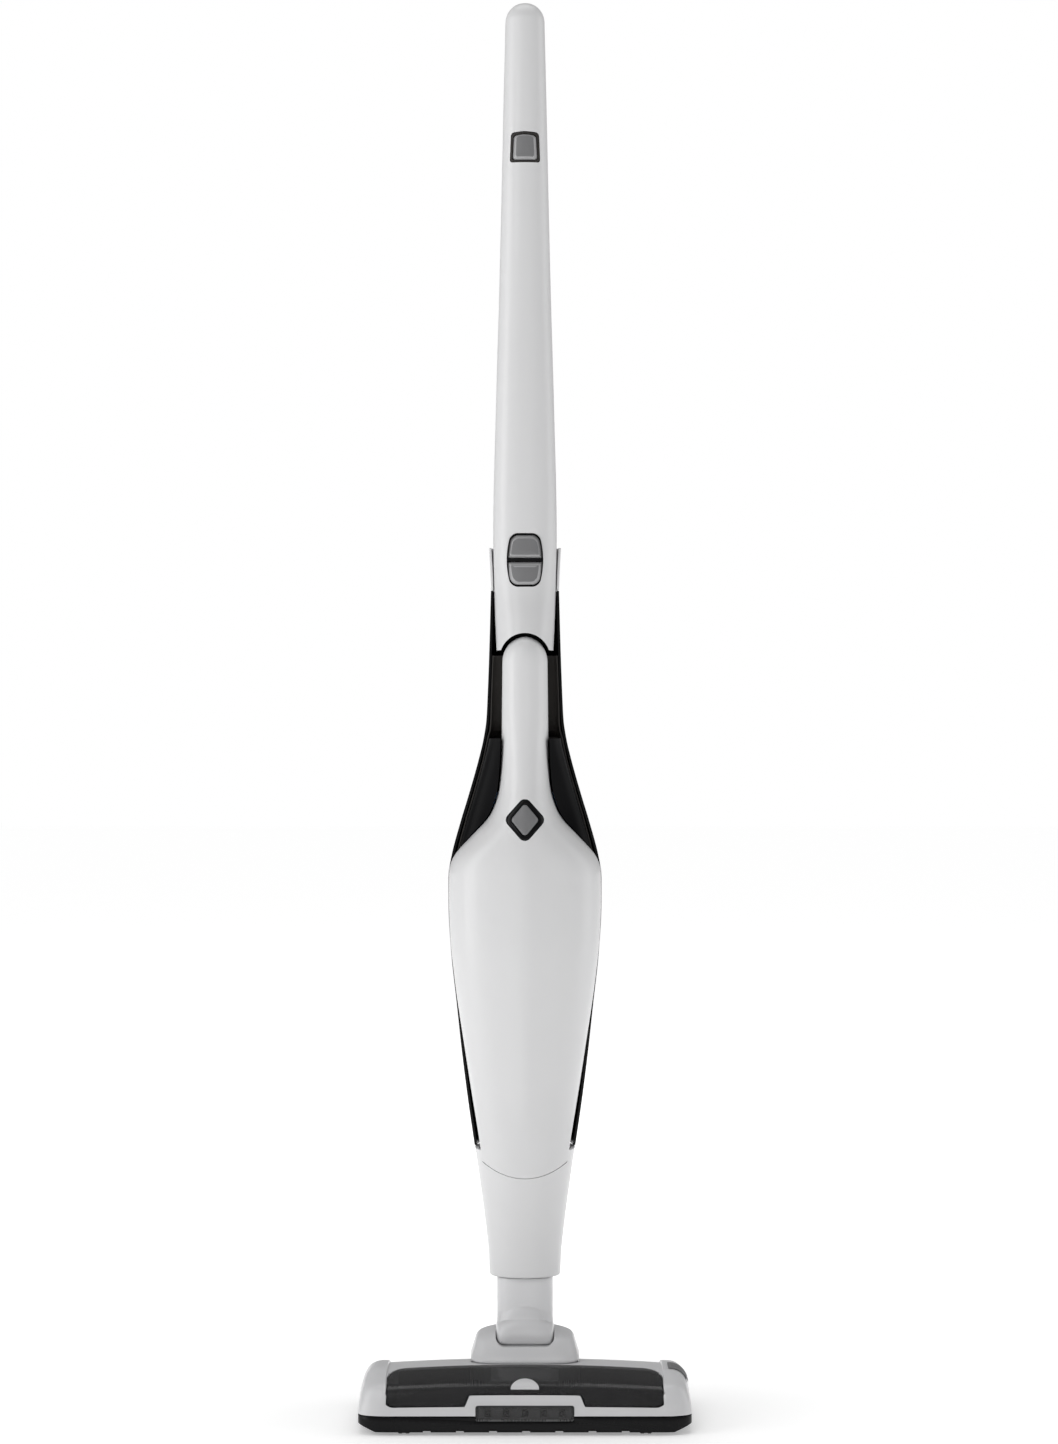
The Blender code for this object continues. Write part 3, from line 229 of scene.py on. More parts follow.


# the gain for convex edges sets how much paler each finish paints them: a painted highlight
finishes = {
    "white_shell": mouldedPlastic("white shell", (0.66, 0.66, 0.665), 0.34, peel=0.04, coat=0.15, tint=0.015,
                                  specular=0.4),
    "light_grey": mouldedPlastic("light grey", (0.65, 0.65, 0.66), 0.34, peel=0.05, coat=0.15, tint=0.03),
    "button_grey": mouldedPlastic("button grey", (0.18, 0.18, 0.184), 0.42, grain=0.25, tint=0.10, edgeHighlightGain=1.35),
    # paler grey for the sloping button rims: a painted highlight
    "rimHighlight": mouldedPlastic("painted rim highlight", (0.33, 0.33, 0.335), 0.30, peel=0.03, tint=0.06, edgeHighlightGain=1.2),
    "shoulderBlack": mouldedPlastic("shoulder black", (0.0025, 0.0025, 0.003), 0.38, peel=0.03, tint=0.2,
                                     specular=0.07, edgeHighlightGain=1.4),
    "gloss_black": mouldedPlastic("gloss black", (0.0035, 0.0035, 0.004), 0.24, peel=0.03, tint=0.2, specular=0.16,
                                  edgeHighlightGain=1.6),
    "dark_matte": mouldedPlastic("dark matte", (0.026, 0.023, 0.021), 0.56, grain=0.45, tint=0.18, specular=0.35),
    "smoked": mouldedPlastic("smoked", (0.020, 0.020, 0.021), 0.16, peel=0.02, tint=0.1, alpha=0.80,
                             specular=0.30),
    "rubber": mouldedPlastic("rubber", (0.018, 0.018, 0.018), 0.82, grain=0.5, tint=0.25, specular=0.3),
}
print("plastics mixed")


def steelLook(name, colour, roughness):
    look = Look(name)
    stretched = look.add("ShaderNodeMapping", None, {"Vector": look.where(), "Scale": (1.0, 1.0, 0.04)})
    lines = look.noise(1500.0, 2.0, 0.5, stretched)
    smudge = look.noise(40.0, 3.0, 0.6)
    base = look.blendColour(smudge, (*[c * 0.85 for c in colour], 1), (*colour, 1))
    rough = roughness + (lines - 0.5) * 0.12 + (smudge - 0.5) * 0.12
    return look.finish(Base_Color=base, Metallic=1.0, Roughness=rough, Normal=look.bump(lines, 0.12, 0.0002))


def boardLook():
    look = Look("circuit board")
    cells = {"Vector": look.where(), "Scale": 420.0, "Randomness": 0.7}
    traces = look.add("ShaderNodeTexVoronoi", {"distance": "MANHATTAN"}, cells)
    mask = look.fit(traces, 0.42, 0.50, 0.0, 1.0)
    base = look.blendColour(mask, (0.010, 0.060, 0.028, 1), (0.030, 0.150, 0.070, 1))
    return look.finish(Base_Color=base, Roughness=0.35 + mask * 0.15, Normal=look.bump(mask, 0.3, 0.0002))


def foamLook():
    look = Look("filter foam")
    cells = look.add("ShaderNodeTexVoronoi", None, {"Vector": look.where(), "Scale": 700.0})
    base = look.blendColour(look.fit(cells, 0.0, 0.8, 0, 1), (0.30, 0.30, 0.29, 1), (0.66, 0.66, 0.64, 1))
    return look.finish(Base_Color=base, Roughness=0.95 - cells * 0.1, Normal=look.bump(cells, 0.9, 0.0010))


def wrapLook():
    look = Look("cell wrap")
    flow = look.noise(30.0, 3.0)
    base = look.blendColour(flow, (0.03, 0.10, 0.22, 1), (0.05, 0.17, 0.34, 1))
    return look.finish(Base_Color=base, Roughness=0.30 + flow * 0.2, Normal=look.bump(look.noise(120.0), 0.2, 0.0005))


def bristleLook():
    look = Look("bristle nylon")
    strand = look.noise(1800.0, 2.0, 0.6)
    patch = look.noise(60.0, 2.0)
    base = look.blendColour(look.fit(strand * 0.6 + patch * 0.4, 0.3, 0.7, 0, 1), (0.030, 0.030, 0.034, 1),
                            (0.120, 0.120, 0.130, 1))
    return look.finish(Base_Color=base, Roughness=0.55 + strand * 0.3, Normal=look.bump(strand, 0.5, 0.0004))


finishes["steel"] = steelLook("bright steel", (0.60, 0.60, 0.61), 0.26)
finishes["motor_case"] = steelLook("motor case", (0.50, 0.50, 0.51), 0.34)
finishes["board"] = boardLook()
finishes["cell"] = wrapLook()
finishes["foam"] = foamLook()
finishes["bristle"] = bristleLook()
print("other finishes mixed")


# shape tools
def curveAt(table, z):
    z = min(max(z, table[0][0]), table[-1][0])
    i = next(k for k in range(len(table) - 1) if z <= table[k + 1][0])
    span = table[i + 1][0] - table[i][0]
    t = (z - table[i][0]) / span
    values = []
    for column in range(1, len(table[0])):
        slopes = []
        for k in (i, i + 1):
            steps = [(table[j + 1][column] - table[j][column]) / (table[j + 1][0] - table[j][0])
                     for j in (k - 1, k) if 0 <= j < len(table) - 1]
            if len(steps) == 1:
                slopes.append(steps[0])
            else:
                below, above = steps
                slopes.append(0.0 if below * above <= 0 else 2 * below * above / (below + above))
        a, b = table[i][column], table[i + 1][column]
        ma, mb = slopes[0] * span, slopes[1] * span
        values.append(a * (2 * t**3 - 3 * t**2 + 1) + ma * (t**3 - 2 * t**2 + t)
                      + b * (3 * t**2 - 2 * t**3) + mb * (t**3 - t**2))
    return values


def heights(low, high, step):
    count = max(1, math.ceil((high - low) / step))
    return [low + (high - low) * k / count for k in range(count + 1)]


def bulge(share, power, root):
    return max(0.0, 1 - min(1.0, abs(share)) ** power) ** (1 / root)


# half of a stick section, from +X round the front (side -1) or the rear (side 1) to -X
def halfRow(z, width, seam, reach, side, section, count):
    power, root = section
    row = []
    for k in range(count):
        c = math.cos(math.pi * k / (count - 1))
        c = math.copysign(abs(c) ** 0.92, c)
        row.append(Vector((width * c, stickY + seam + side * (0.0002 + reach * bulge(c, power, root)), z)))
    return row


def wholeRow(z, width, front, rear, section, count, grow=0.0):
    power, root = section
    middle, reach = (front + rear) / 2, (rear - front) / 2 + grow
    row = []
    for k in range(count):
        turn = math.tau * k / count
        c, s = math.cos(turn), math.sin(turn)
        x = (width + grow) * math.copysign(abs(c) ** (2 / power), c)
        y = reach * math.copysign(abs(s) ** (2 / root), s)
        row.append(Vector((x, stickY + middle + y, z)))
    return row


def link(name, mesh):
    piece = bpy.data.objects.new(name, mesh)
    bpy.context.scene.collection.objects.link(piece)
    return piece


# a mesh through rows of points; a row of one point is a pole
def skin(name, rows, ring=False, caps=False, flip=False):
    shape = bmesh.new()
    grid = [[shape.verts.new(point) for point in row] for row in rows]
    for lower, upper in zip(grid, grid[1:]):
        count = max(len(lower), len(upper))
        for j in range(count if ring else count - 1):
            k = (j + 1) % count
            if len(lower) == len(upper):
                corners = [lower[j], lower[k], upper[k], upper[j]]
            elif len(upper) == 1:
                corners = [lower[j], lower[k], upper[0]]
            else:
                corners = [lower[0], upper[k], upper[j]]
            shape.faces.new(corners[::-1] if flip else corners)
    if caps:
        for row in (grid[0], grid[-1]):
            if len(row) > 1:
                shape.faces.new(row)
        bmesh.ops.recalc_face_normals(shape, faces=shape.faces)
    mesh = bpy.data.meshes.new(name)
    shape.to_mesh(mesh)
    shape.free()
    return link(name, mesh)


def modify(piece, kind, **settings):
    made = piece.modifiers.new(kind.title(), kind)
    for key, value in settings.items():
        setattr(made, key, value)
    return piece


def cut(piece, *cutters):
    for cutter in cutters:
        modify(piece, "BOOLEAN", operation="DIFFERENCE", object=cutter, solver="EXACT")
    return piece


def join(piece, *others):
    for other in others:
        modify(piece, "BOOLEAN", operation="UNION", object=other, solver="EXACT")
    return piece


# the piece with its modifiers made real, shaded smooth except at its hard edges
def bake(piece, angle=32):
    bpy.context.view_layer.update()
    graph = bpy.context.evaluated_depsgraph_get()
    mesh = bpy.data.meshes.new_from_object(piece.evaluated_get(graph), depsgraph=graph)
    cutters = {m.object for m in piece.modifiers if m.type == "BOOLEAN"}
    piece.modifiers.clear()
    piece.data = mesh
    mesh.name = piece.name
    shape = bmesh.new()
    shape.from_mesh(mesh)
    bmesh.ops.dissolve_degenerate(shape, dist=1e-6, edges=shape.edges)
    shape.to_mesh(mesh)
    shape.free()
    mesh.shade_smooth()
    mesh.set_sharp_from_angle(angle=math.radians(angle))
    for cutter in cutters:
        bpy.data.objects.remove(cutter)
    return piece


def fitOut(piece, body, slot, *nodes, material=None):
    piece.data.materials.clear()
    piece.data.materials.append(material or finishes[slot])
    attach(piece, body)
    if nodes:
        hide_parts(*nodes)
    return piece


def prism(name, outline, low, high, axis):
    turn = {"X": lambda a, b, c: (c, a, b), "Y": lambda a, b, c: (a, c, b), "Z": lambda a, b, c: (a, b, c)}[axis]
    rows = [[Vector(turn(a, b, c)) for a, b in outline] for c in (low, high)]
    return skin(name, rows, ring=True, caps=True)


def bar(name, radius, low, high, axis, centre, sides=48, rim=0.0):
    profile = [(radius - rim, low), (radius, low + rim), (radius, high - rim), (radius - rim, high)] if rim else [
        (radius, low), (radius, high)]
    return lathe(name, profile, axis, centre, sides)


# profile points are (radius, place along the axis); ends that don't reach the axis are capped flat
def lathe(name, profile, axis, centre, sides=48, ring=False):
    turn = {"X": lambda a, b, c: (c, a + centre[0], b + centre[1]),
            "Y": lambda a, b, c: (a + centre[0], c, b + centre[1]),
            "Z": lambda a, b, c: (a + centre[0], b + centre[1], c)}[axis]
    rows = []
    for radius, along in profile:
        if radius < 1e-7:
            rows.append([Vector(turn(0.0, 0.0, along))])
        else:
            rows.append([Vector(turn(radius * math.cos(math.tau * k / sides), radius * math.sin(math.tau * k / sides),
                                     along)) for k in range(sides)])
    if ring:
        rows.append(rows[0])
    return tidy(skin(name, rows, ring=True, caps=not ring))


def block(name, low, high):
    outline = [(low[0], low[1]), (high[0], low[1]), (high[0], high[1]), (low[0], high[1])]
    return prism(name, outline, low[2], high[2], "Z")


def arcOutline(corners, radius, steps=6):
    outline = []
    for i, corner in enumerate(corners):
        here = Vector(corner)
        before = (Vector(corners[i - 1]) - here).normalized()
        after = (Vector(corners[(i + 1) % len(corners)]) - here).normalized()
        half = before.angle(after) / 2
        turnRadius = radius[i] if isinstance(radius, (list, tuple)) else radius
        middle = here + (before + after).normalized() * turnRadius / math.sin(half)
        start = here + before * turnRadius / math.tan(half) - middle
        end = here + after * turnRadius / math.tan(half) - middle
        sweep = math.atan2(start.cross(end), start.dot(end))
        outline += [tuple(middle + Matrix.Rotation(sweep * k / steps, 2) @ start) for k in range(steps + 1)]
    return outline


def rectangle(width, height, x=0.0, y=0.0):
    return [(x - width / 2, y - height / 2), (x + width / 2, y - height / 2),
            (x + width / 2, y + height / 2), (x - width / 2, y + height / 2)]


def middleOf(outline):
    return (sum(p[0] for p in outline) / len(outline), sum(p[1] for p in outline) / len(outline))


def inset(outline, distance):
    cx, cz = middleOf(outline)
    halfX = max(abs(p[0] - cx) for p in outline)
    halfZ = max(abs(p[1] - cz) for p in outline)
    return [(cx + (x - cx) * (1 - distance / halfX), cz + (z - cz) * (1 - distance / halfZ)) for x, z in outline]


# closes and tidies a ring-shaped or capped mesh
def tidy(piece, caps=()):
    shape = bmesh.new()
    shape.from_mesh(piece.data)
    shape.verts.ensure_lookup_table()
    for first, count in caps:
        shape.faces.new([shape.verts[first + k] for k in range(count)])
    bmesh.ops.remove_doubles(shape, verts=shape.verts, dist=1e-7)
    bmesh.ops.recalc_face_normals(shape, faces=shape.faces)
    shape.to_mesh(piece.data)
    shape.free()
    return piece


# a button that follows the face behind it: a sloping rim round a slightly dished or crowned top
def pad(name, outline, faceAt, proud, depth, slope=0.0018, drop=0.0007, crown=0.0):
    def row(points, below):
        return [Vector((x, faceAt(x, z) - (proud - below), z)) for x, z in points]

    rows = [row(outline, depth + proud), row(outline, drop + 0.0003)]
    for share, below in ((0.04, 0.85 * drop + 0.00012), (0.14, 0.78 * drop), (0.84, 0.10 * drop), (1.0, 0.0)):
        rows.append(row(inset(outline, slope * share), below))
    top = inset(outline, slope * 1.12)
    cx, cz = middleOf(outline)
    for share in (1.0, 0.8, 0.6, 0.4, 0.2):
        points = [(cx + (x - cx) * share, cz + (z - cz) * share) for x, z in top]
        rows.append(row(points, -crown * (1 - share**2)))
    rows.append(row([(cx, cz)], -crown))
    piece = skin(name, rows, ring=True)
    return tidy(piece, [(0, len(outline))])


# a painted highlight on a button's rim: faces that lean away from the front get the paler finish
def paintRimHighlight(piece):
    piece.data.materials.append(finishes["rimHighlight"])
    for face in piece.data.polygons:
        face.material_index = 1 if -0.93 < face.normal.y < -0.30 else 0


# a frame round a button, between two outlines with the same number of points
def padRing(name, outer, inner, faceAt, proud, depth, rim=0.0005):
    def row(points, below):
        return [Vector((x, faceAt(x, z) - (proud - below), z)) for x, z in points]

    def between(share):
        return [(a[0] + (b[0] - a[0]) * share, a[1] + (b[1] - a[1]) * share) for a, b in zip(outer, inner)]

    rows = [row(outer, depth + proud), row(outer, rim)]
    for share, below in ((0.08, 0.35), (0.2, 0.08), (0.5, 0.0), (0.8, 0.08), (0.92, 0.35)):
        rows.append(row(between(share), rim * below))
    rows += [row(inner, rim), row(inner, depth + proud), row(outer, depth + proud)]
    return tidy(skin(name, rows, ring=True))


print("tools ready")


# upper handle
handle = {
    "rows": [  # height, half width, front, rear, middle of the section
        (0.610, 0.0227, -0.0415, 0.0200, 0.0), (0.635, 0.0238, -0.0330, 0.0200, 0.0),
        (0.660, 0.0246, -0.0245, 0.0200, 0.0), (0.700, 0.0254, -0.0205, 0.0203, 0.0),
        (0.810, 0.0231, -0.0195, 0.0190, 0.0), (0.890, 0.0208, -0.0178, 0.0190, 0.001),
        (0.970, 0.0189, -0.0150, 0.0202, 0.003), (1.050, 0.0172, -0.0105, 0.0230, 0.0065),
        (1.092, 0.0162, -0.0072, 0.0248, 0.009), (1.114, 0.0157, -0.0051, 0.0256, 0.0104)],
    "wall": 0.0022, "top": round(cadBounds[1][2], 5), "frontFoot": 0.610,
    "rearFoot": nodeCorners("handle_rear_shell")[0][2], "section": (2.5, 2.5), "step": 0.005, "powerZ": 1.0105,
    "powerWidth": 0.0190, "twinZ": nodeMiddle("twin_button_frame")[2], "twinReach": 0.0205, "twinGap": 0.0010,
    "screwZ": nodeMiddle("handle_screw_1")[2], "screwHole": 0.0034,
    "archRadius": 0.0202, "archZ": 0.6030,
}


def handleRows(side, low):
    rows, table = [], handle["rows"]
    top = table[-1][0]
    for z in heights(low, top, handle["step"]):
        width, front, rear, centre = curveAt(table, z)
        reach = centre - front if side < 0 else rear - centre
        rows.append(halfRow(z, width, centre + 0.0001 * side, reach, side, handle["section"], 57))
    width, front, rear, centre = table[-1][1:]
    reach = centre - front if side < 0 else rear - centre
    dome = handle["top"] - 0.0001 - top
    for turn in range(6, 88, 6):
        shrink = math.cos(math.radians(turn))
        z = top + dome * math.sin(math.radians(turn))
        rows.append(halfRow(z, width * shrink, centre + 0.0001 * side, reach * shrink, side, handle["section"], 57))
    rows.append([Vector((0.0, stickY + centre + side * 0.0002, handle["top"] - 0.0001))])
    return rows


# how far back the handle's front face stands at a point of its front view
def handleFace(x, z):
    width, front, _, centre = curveAt(handle["rows"], z)
    return stickY + centre - (centre - front) * bulge(x / width, *handle["section"])


def powerOutline(grow):
    half, z = handle["powerWidth"] / 2 + grow, handle["powerZ"]
    low, high = z - 0.0100 - grow, z + 0.0107 + grow
    corners = [(-half - 0.0004, low), (half + 0.0004, low), (half - 0.0005, high - 0.0010), (0.0016, high),
               (-0.0016, high), (-half + 0.0005, high - 0.0010)]
    return arcOutline(corners, [0.0022, 0.0022, 0.0034, 0.004, 0.004, 0.0034], 5)


# a slice of the barrel shape that the two release buttons share, with round corners at the barrel's own ends
def twinOutline(low, high, grow):
    ends = [(side, limit + side * grow, 0.0054 if side * limit > 0.018 else 0.0007)
            for side, limit in ((-1, low), (1, high))]
    flank = []
    for k in range(29):
        h = low - grow + (high - low + 2 * grow) * (1 - math.cos(math.pi * k / 28)) / 2
        x = 0.0136 - 0.0031 * (h / 0.0205) ** 2 + grow
        for side, limit, radius in ends:
            past = max(0.0, side * h - side * limit + radius)
            x -= radius - math.sqrt(max(0.0, radius**2 - past**2))
        flank.append((x, handle["twinZ"] + h))
    return flank + [(-x, z) for x, z in reversed(flank)]


def makeHandle():
    twin = handle["twinReach"]
    arch = [(handle["archRadius"] * math.cos(math.radians(a)),
             handle["archZ"] + handle["archRadius"] * math.sin(math.radians(a))) for a in range(0, 181, 6)]
    arch = [(handle["archRadius"], 0.56), *arch, (-handle["archRadius"], 0.56)]
    front = skin("handle-front", handleRows(-1, handle["frontFoot"]), flip=True)
    modify(front, "SOLIDIFY", thickness=handle["wall"], offset=-1.0)
    cut(front, prism("archCut", arch, -0.08, 0.08, "Y"),
        prism("powerCut", powerOutline(0.0022), -0.05, stickY - 0.003, "Y"),
        prism("twinCut", twinOutline(-twin, twin, 0.0009), -0.05, stickY - 0.006, "Y"))
    fitOut(bake(front), "upper_handle", "white_shell", "handle_front_shell")

    rear = skin("handle-rear", handleRows(1, handle["rearFoot"]))
    modify(rear, "SOLIDIFY", thickness=handle["wall"], offset=-1.0)
    z = handle["screwZ"]
    face = stickY + curveAt(handle["rows"], z)[2]
    cut(rear, bar("screwCut", handle["screwHole"], face - 0.004, face + 0.01, "Y", (0.0, z)))
    fitOut(bake(rear), "upper_handle", "white_shell", "handle_rear_shell")


def makeHandleButtons():
    bezel = padRing("power-bezel", powerOutline(0.0018), powerOutline(0.0003), handleFace, 0.0001, 0.0036)
    fitOut(bake(bezel), "upper_handle", "dark_matte", "power_button_bezel")
    power = pad("power-button", powerOutline(-0.0001), handleFace, 0.0005, 0.0040, slope=0.0024, drop=0.0015)
    fitOut(bake(power, 20), "power_switch", "button_grey", "power_button")
    # the power button's rim faces take the paler grey: a painted highlight
    paintRimHighlight(power)

    twin, gap = handle["twinReach"], handle["twinGap"]
    outer = twinOutline(-twin, twin, 0.0006)
    frame = prism("twin-frame", outer, stickY - 0.0206, stickY - 0.0145, "Y")
    cut(frame, prism("upperCut", twinOutline(gap, twin - 0.0002, 0.0), -0.05, 0.05, "Y"),
        prism("lowerCut", twinOutline(0.0002 - twin, -gap, 0.0), -0.05, 0.05, "Y"))
    fitOut(bake(frame), "upper_handle", "gloss_black", "twin_button_frame")
    for name, low, high, body, node in (
            ("handle-release", gap + 0.0006, twin - 0.0008, "handle_release", "handle_release_button"),
            ("unit-release", 0.0008 - twin, -gap - 0.0006, "hand_unit_release", "hand_unit_release_button")):
        piece = pad(name, twinOutline(low, high, 0.0), handleFace, 0.0007, 0.0050, slope=0.0026, drop=0.0017)
        fitOut(bake(piece, 20), body, "button_grey", node)
        # each release button's rim faces take the paler grey: a painted highlight
        paintRimHighlight(piece)


makeHandle()
makeHandleButtons()
print("upper handle built")


# stick body: spine, collar, liner and the socket at its foot
stick = {
    "spine": [  # height, half width, rear
        (0.2150, 0.0402, 0.0340), (0.2520, 0.0456, 0.0380), (0.2900, 0.0504, 0.0420), (0.3300, 0.0547, 0.0460),
        (0.3700, 0.0590, 0.0500), (0.4100, 0.0611, 0.0520), (0.4300, 0.0611, 0.0521), (0.4437, 0.0592, 0.0520),
        (0.4750, 0.0510, 0.0500),
        (0.4910, 0.0461, 0.0480), (0.5070, 0.0414, 0.0450), (0.5230, 0.0370, 0.0420), (0.5390, 0.0332, 0.0390),
        (0.5550, 0.0308, 0.0360), (0.5750, 0.0298, 0.0335), (0.6104, 0.0285, 0.0300), (0.6580, 0.0272, 0.0270)],
    "collar": [(0.6583, 0.0272, 0.0270), (0.6700, 0.0276, 0.0270), (0.6920, 0.0288, 0.0280)],
    "liner": [
        (0.250, 0.0418, 0.0280), (0.300, 0.0471, 0.0320), (0.345, 0.0517, 0.0350), (0.380, 0.0541, 0.0360),
        (0.412, 0.0552, 0.0360), (0.440, 0.0550, 0.0360), (0.475, 0.0476, 0.0335), (0.491, 0.0428, 0.0315),
        (0.507, 0.0382, 0.0280), (0.523, 0.0338, 0.0230), (0.541, 0.0300, 0.0210), (0.549, 0.0280, 0.0020),
        (0.575, 0.0272, 0.0008), (0.606, 0.0260, 0.0000)],
    "socket": [  # height, half width, front, rear
        (0.1120, 0.0284, -0.0238, 0.0228), (0.1255, 0.0288, -0.0255, 0.0238), (0.1575, 0.0320, -0.0330, 0.0280),
        (0.1893, 0.0362, -0.0406, 0.0318), (0.2147, 0.0398, -0.0446, 0.0340)],
    "rim": -0.0040, "top": nodeCorners("spine_rear_shell")[1][2], "section": (2.4, 2.4), "socketSection": (2.3, 2.3),
    "jackZ": nodeMiddle("charging_jack")[2], "jackHole": 0.0072, "screwHole": 0.0036, "socketTop": 0.2143,
    "screwHeights": (nodeMiddle("spine_screw_1")[2], nodeMiddle("spine_screw_2")[2]),
    "wall": 0.0020, "linerWall": 0.0010, "socketWall": 0.0025, "footRoll": 0.0016,
}
nose = {"low": 0.1934, "corner": 0.2049, "reach": 0.0336, "flank": 0.0370, "top": 0.240}


def rearRows(table, low, high, seam, section, count=57, step=0.005):
    rows = []
    for z in heights(low, high, step):
        width, rear = curveAt(table, z)
        rows.append(halfRow(z, width, seam, rear - seam, 1, section, count))
    return rows


# front view of the hand unit's nose: straight flanks down to an arc
def noseOutline(grow):
    reach = nose["reach"] + grow
    arc = []
    for k in range(41):
        x = reach * (1 - k / 20)
        arc.append((x, nose["low"] - grow + (nose["corner"] - nose["low"]) * (x / reach) ** 2))
    return [(nose["flank"] + grow, nose["top"]), *arc, (-nose["flank"] - grow, nose["top"])]


def makeStick():
    section, wall = stick["section"], stick["wall"]
    spine = skin("spine", rearRows(stick["spine"], stick["spine"][0][0], stick["top"], stick["rim"], section))
    modify(spine, "SOLIDIFY", thickness=wall, offset=-1.0)
    z = stick["jackZ"]
    face = stickY + curveAt(stick["spine"], z)[1]
    cut(spine, bar("jackCut", stick["jackHole"], face - 0.012, face + 0.01, "Y", (0.0, z)))
    for place in stick["screwHeights"]:
        back = stickY + curveAt(stick["spine"], place)[1]
        cut(spine, bar(f"screwCut{place}", stick["screwHole"], back - 0.004, back + 0.01, "Y", (0.0, place)))
    modify(spine, "BEVEL", width=0.0005, segments=2, limit_method="ANGLE", angle_limit=math.radians(50))
    fitOut(bake(spine), "stick", "gloss_black", "spine_rear_shell")

    low, high = stick["liner"][0][0], stick["liner"][-1][0]
    liner = skin("cradle-liner", rearRows(stick["liner"], low, high, stick["rim"] + 0.0002, section))
    modify(liner, "SOLIDIFY", thickness=stick["linerWall"], offset=-1.0)
    fitOut(bake(liner), "stick", "dark_matte", "cradle_liner")

    low, high = stick["collar"][0][0], stick["collar"][-1][0]
    collar = skin("collar", rearRows(stick["collar"], low, high, stick["rim"], section, step=0.003))
    modify(collar, "SOLIDIFY", thickness=wall, offset=-1.0)
    modify(collar, "BEVEL", width=0.0006, segments=3, limit_method="ANGLE", angle_limit=math.radians(50))
    fitOut(bake(collar), "stick", "white_shell", "stick_collar")

    jack = lathe("charging-jack", [(0.0028, face - 0.0020), (0.0068, face - 0.0020), (0.0068, face - 0.0008),
                                   (0.0064, face - 0.0004), (0.0052, face - 0.0004), (0.0044, face - 0.0011),
                                   (0.0032, face - 0.0011), (0.0028, face - 0.0014)], "Y", (0.0, z), 64, ring=True)
    fitOut(bake(jack), "stick", "dark_matte", "charging_jack")


def makeSocket():
    def row(z, grow=0.0):
        return wholeRow(z, *curveAt(stick["socket"], z), stick["socketSection"], 96, grow)

    low, high, roll = stick["socket"][0][0], stick["socketTop"], stick["footRoll"]
    rows = []
    for turn in (90, 68, 46, 24):  # the foot rolls inwards
        angle = math.radians(turn)
        rows.append(row(low + roll * (1 - math.sin(angle)), -roll * (1 - math.cos(angle))))
    rows += [row(z) for z in heights(low + roll, high, 0.004)]
    inner = [row(z, -stick["socketWall"]) for z in heights(low + 0.0003, high, 0.008)]
    socket = skin("socket", [rows[0], *rows[1:], *reversed(inner), rows[0]], ring=True)
    tidy(socket)
    cut(socket, prism("noseCut", noseOutline(0.0), -0.08, stickY + 0.0245, "Y"))
    fitOut(bake(socket), "stick", "white_shell", "socket_shell")


makeStick()
makeSocket()
print("stick built")


# hand unit: cover, rear housing, dust cup and buttons
hand = {
    "front": [  # height, half width, front face
        (0.185, 0.0326, -0.0400), (0.205, 0.0344, -0.0430), (0.221, 0.0366, -0.0455), (0.252, 0.0416, -0.0500),
        (0.300, 0.0490, -0.0565), (0.345, 0.0556, -0.0610), (0.380, 0.0593, -0.0635), (0.412, 0.0606, -0.0640),
        (0.435, 0.0604, -0.0637),
        (0.4413, 0.0589, -0.0632), (0.4477, 0.0556, -0.0626), (0.4540, 0.0505, -0.0618), (0.4604, 0.0447, -0.0608),
        (0.4668, 0.0389, -0.0597), (0.4732, 0.0328, -0.0584), (0.4796, 0.0280, -0.0568), (0.4860, 0.0250, -0.0550),
        (0.4923, 0.0228, -0.0537), (0.5000, 0.0210, -0.0518), (0.510, 0.0199, -0.0500), (0.530, 0.0187, -0.0470),
        (0.560, 0.0183, -0.0450), (0.6005, 0.0179, -0.0435)],
    "rear": [
        (0.185, 0.0295, 0.0200), (0.221, 0.0353, 0.0230), (0.252, 0.0400, 0.0260), (0.300, 0.0457, 0.0300),
        (0.345, 0.0505, 0.0330), (0.380, 0.0528, 0.0340), (0.412, 0.0538, 0.0340), (0.440, 0.0536, 0.0340),
        (0.475, 0.0460, 0.0310), (0.491, 0.0411, 0.0290), (0.507, 0.0365, 0.0250), (0.523, 0.0321, 0.0200),
        (0.533, 0.0280, 0.0172), (0.537, 0.0240, 0.0100), (0.541, 0.0179, -0.0030), (0.560, 0.0179, -0.0060),
        (0.6005, 0.0176, -0.0060)],
    "seam": [(0.185, -0.0055), (0.470, -0.0055), (0.520, -0.0140), (0.560, -0.0230), (0.620, -0.0240)],
    "low": 0.185, "tip": 0.6207, "tipLow": 0.6005, "wall": 0.0022, "step": 0.004, "diamondZ": 0.4764,
    "split": nodeCorners("hand_unit_rear_housing")[0][2],
    "broad": (4.4, 2.9), "grip": (2.3, 2.3), "rearSection": (2.4, 2.4), "ridge": 0.20,
}
vents = {"count": 5, "low": 0.392, "pitch": 0.009, "gap": 0.0035, "x": 0.032, "reach": 0.010}


def smoothStep(value, start, end):
    share = min(1.0, max(0.0, (value - start) / (end - start)))
    return share * share * (3 - 2 * share)


# the cover's face: a broad flat arch with a soft ridge down its middle, an oval at the grip
def coverShare(x, z):
    broad, grip = smoothStep(z, 0.215, 0.262), smoothStep(z, 0.430, 0.475)
    power, root = (b + (g - b) * grip for b, g in zip(hand["broad"], hand["grip"]))
    soft = 0.004
    slope = (1 - math.sqrt((x * x + soft) / (1 + soft))) / (1 - math.sqrt(soft / (1 + soft)))
    ridge = hand["ridge"] * (1 - grip)
    share = bulge(x, power, root) * (1 - ridge) + ridge * slope
    if broad == 1:
        return share
    outer = stick["socket"] if z < stick["socket"][-1][0] else stick["spine"]
    flush = bulge(x * curveAt(hand["front"], z)[0] / curveAt(outer, z)[0], 2.3, 2.3) * min(1.0, (1 - abs(x)) / 0.02)
    return flush + (share - flush) * broad  # near the nose it runs flush with the socket


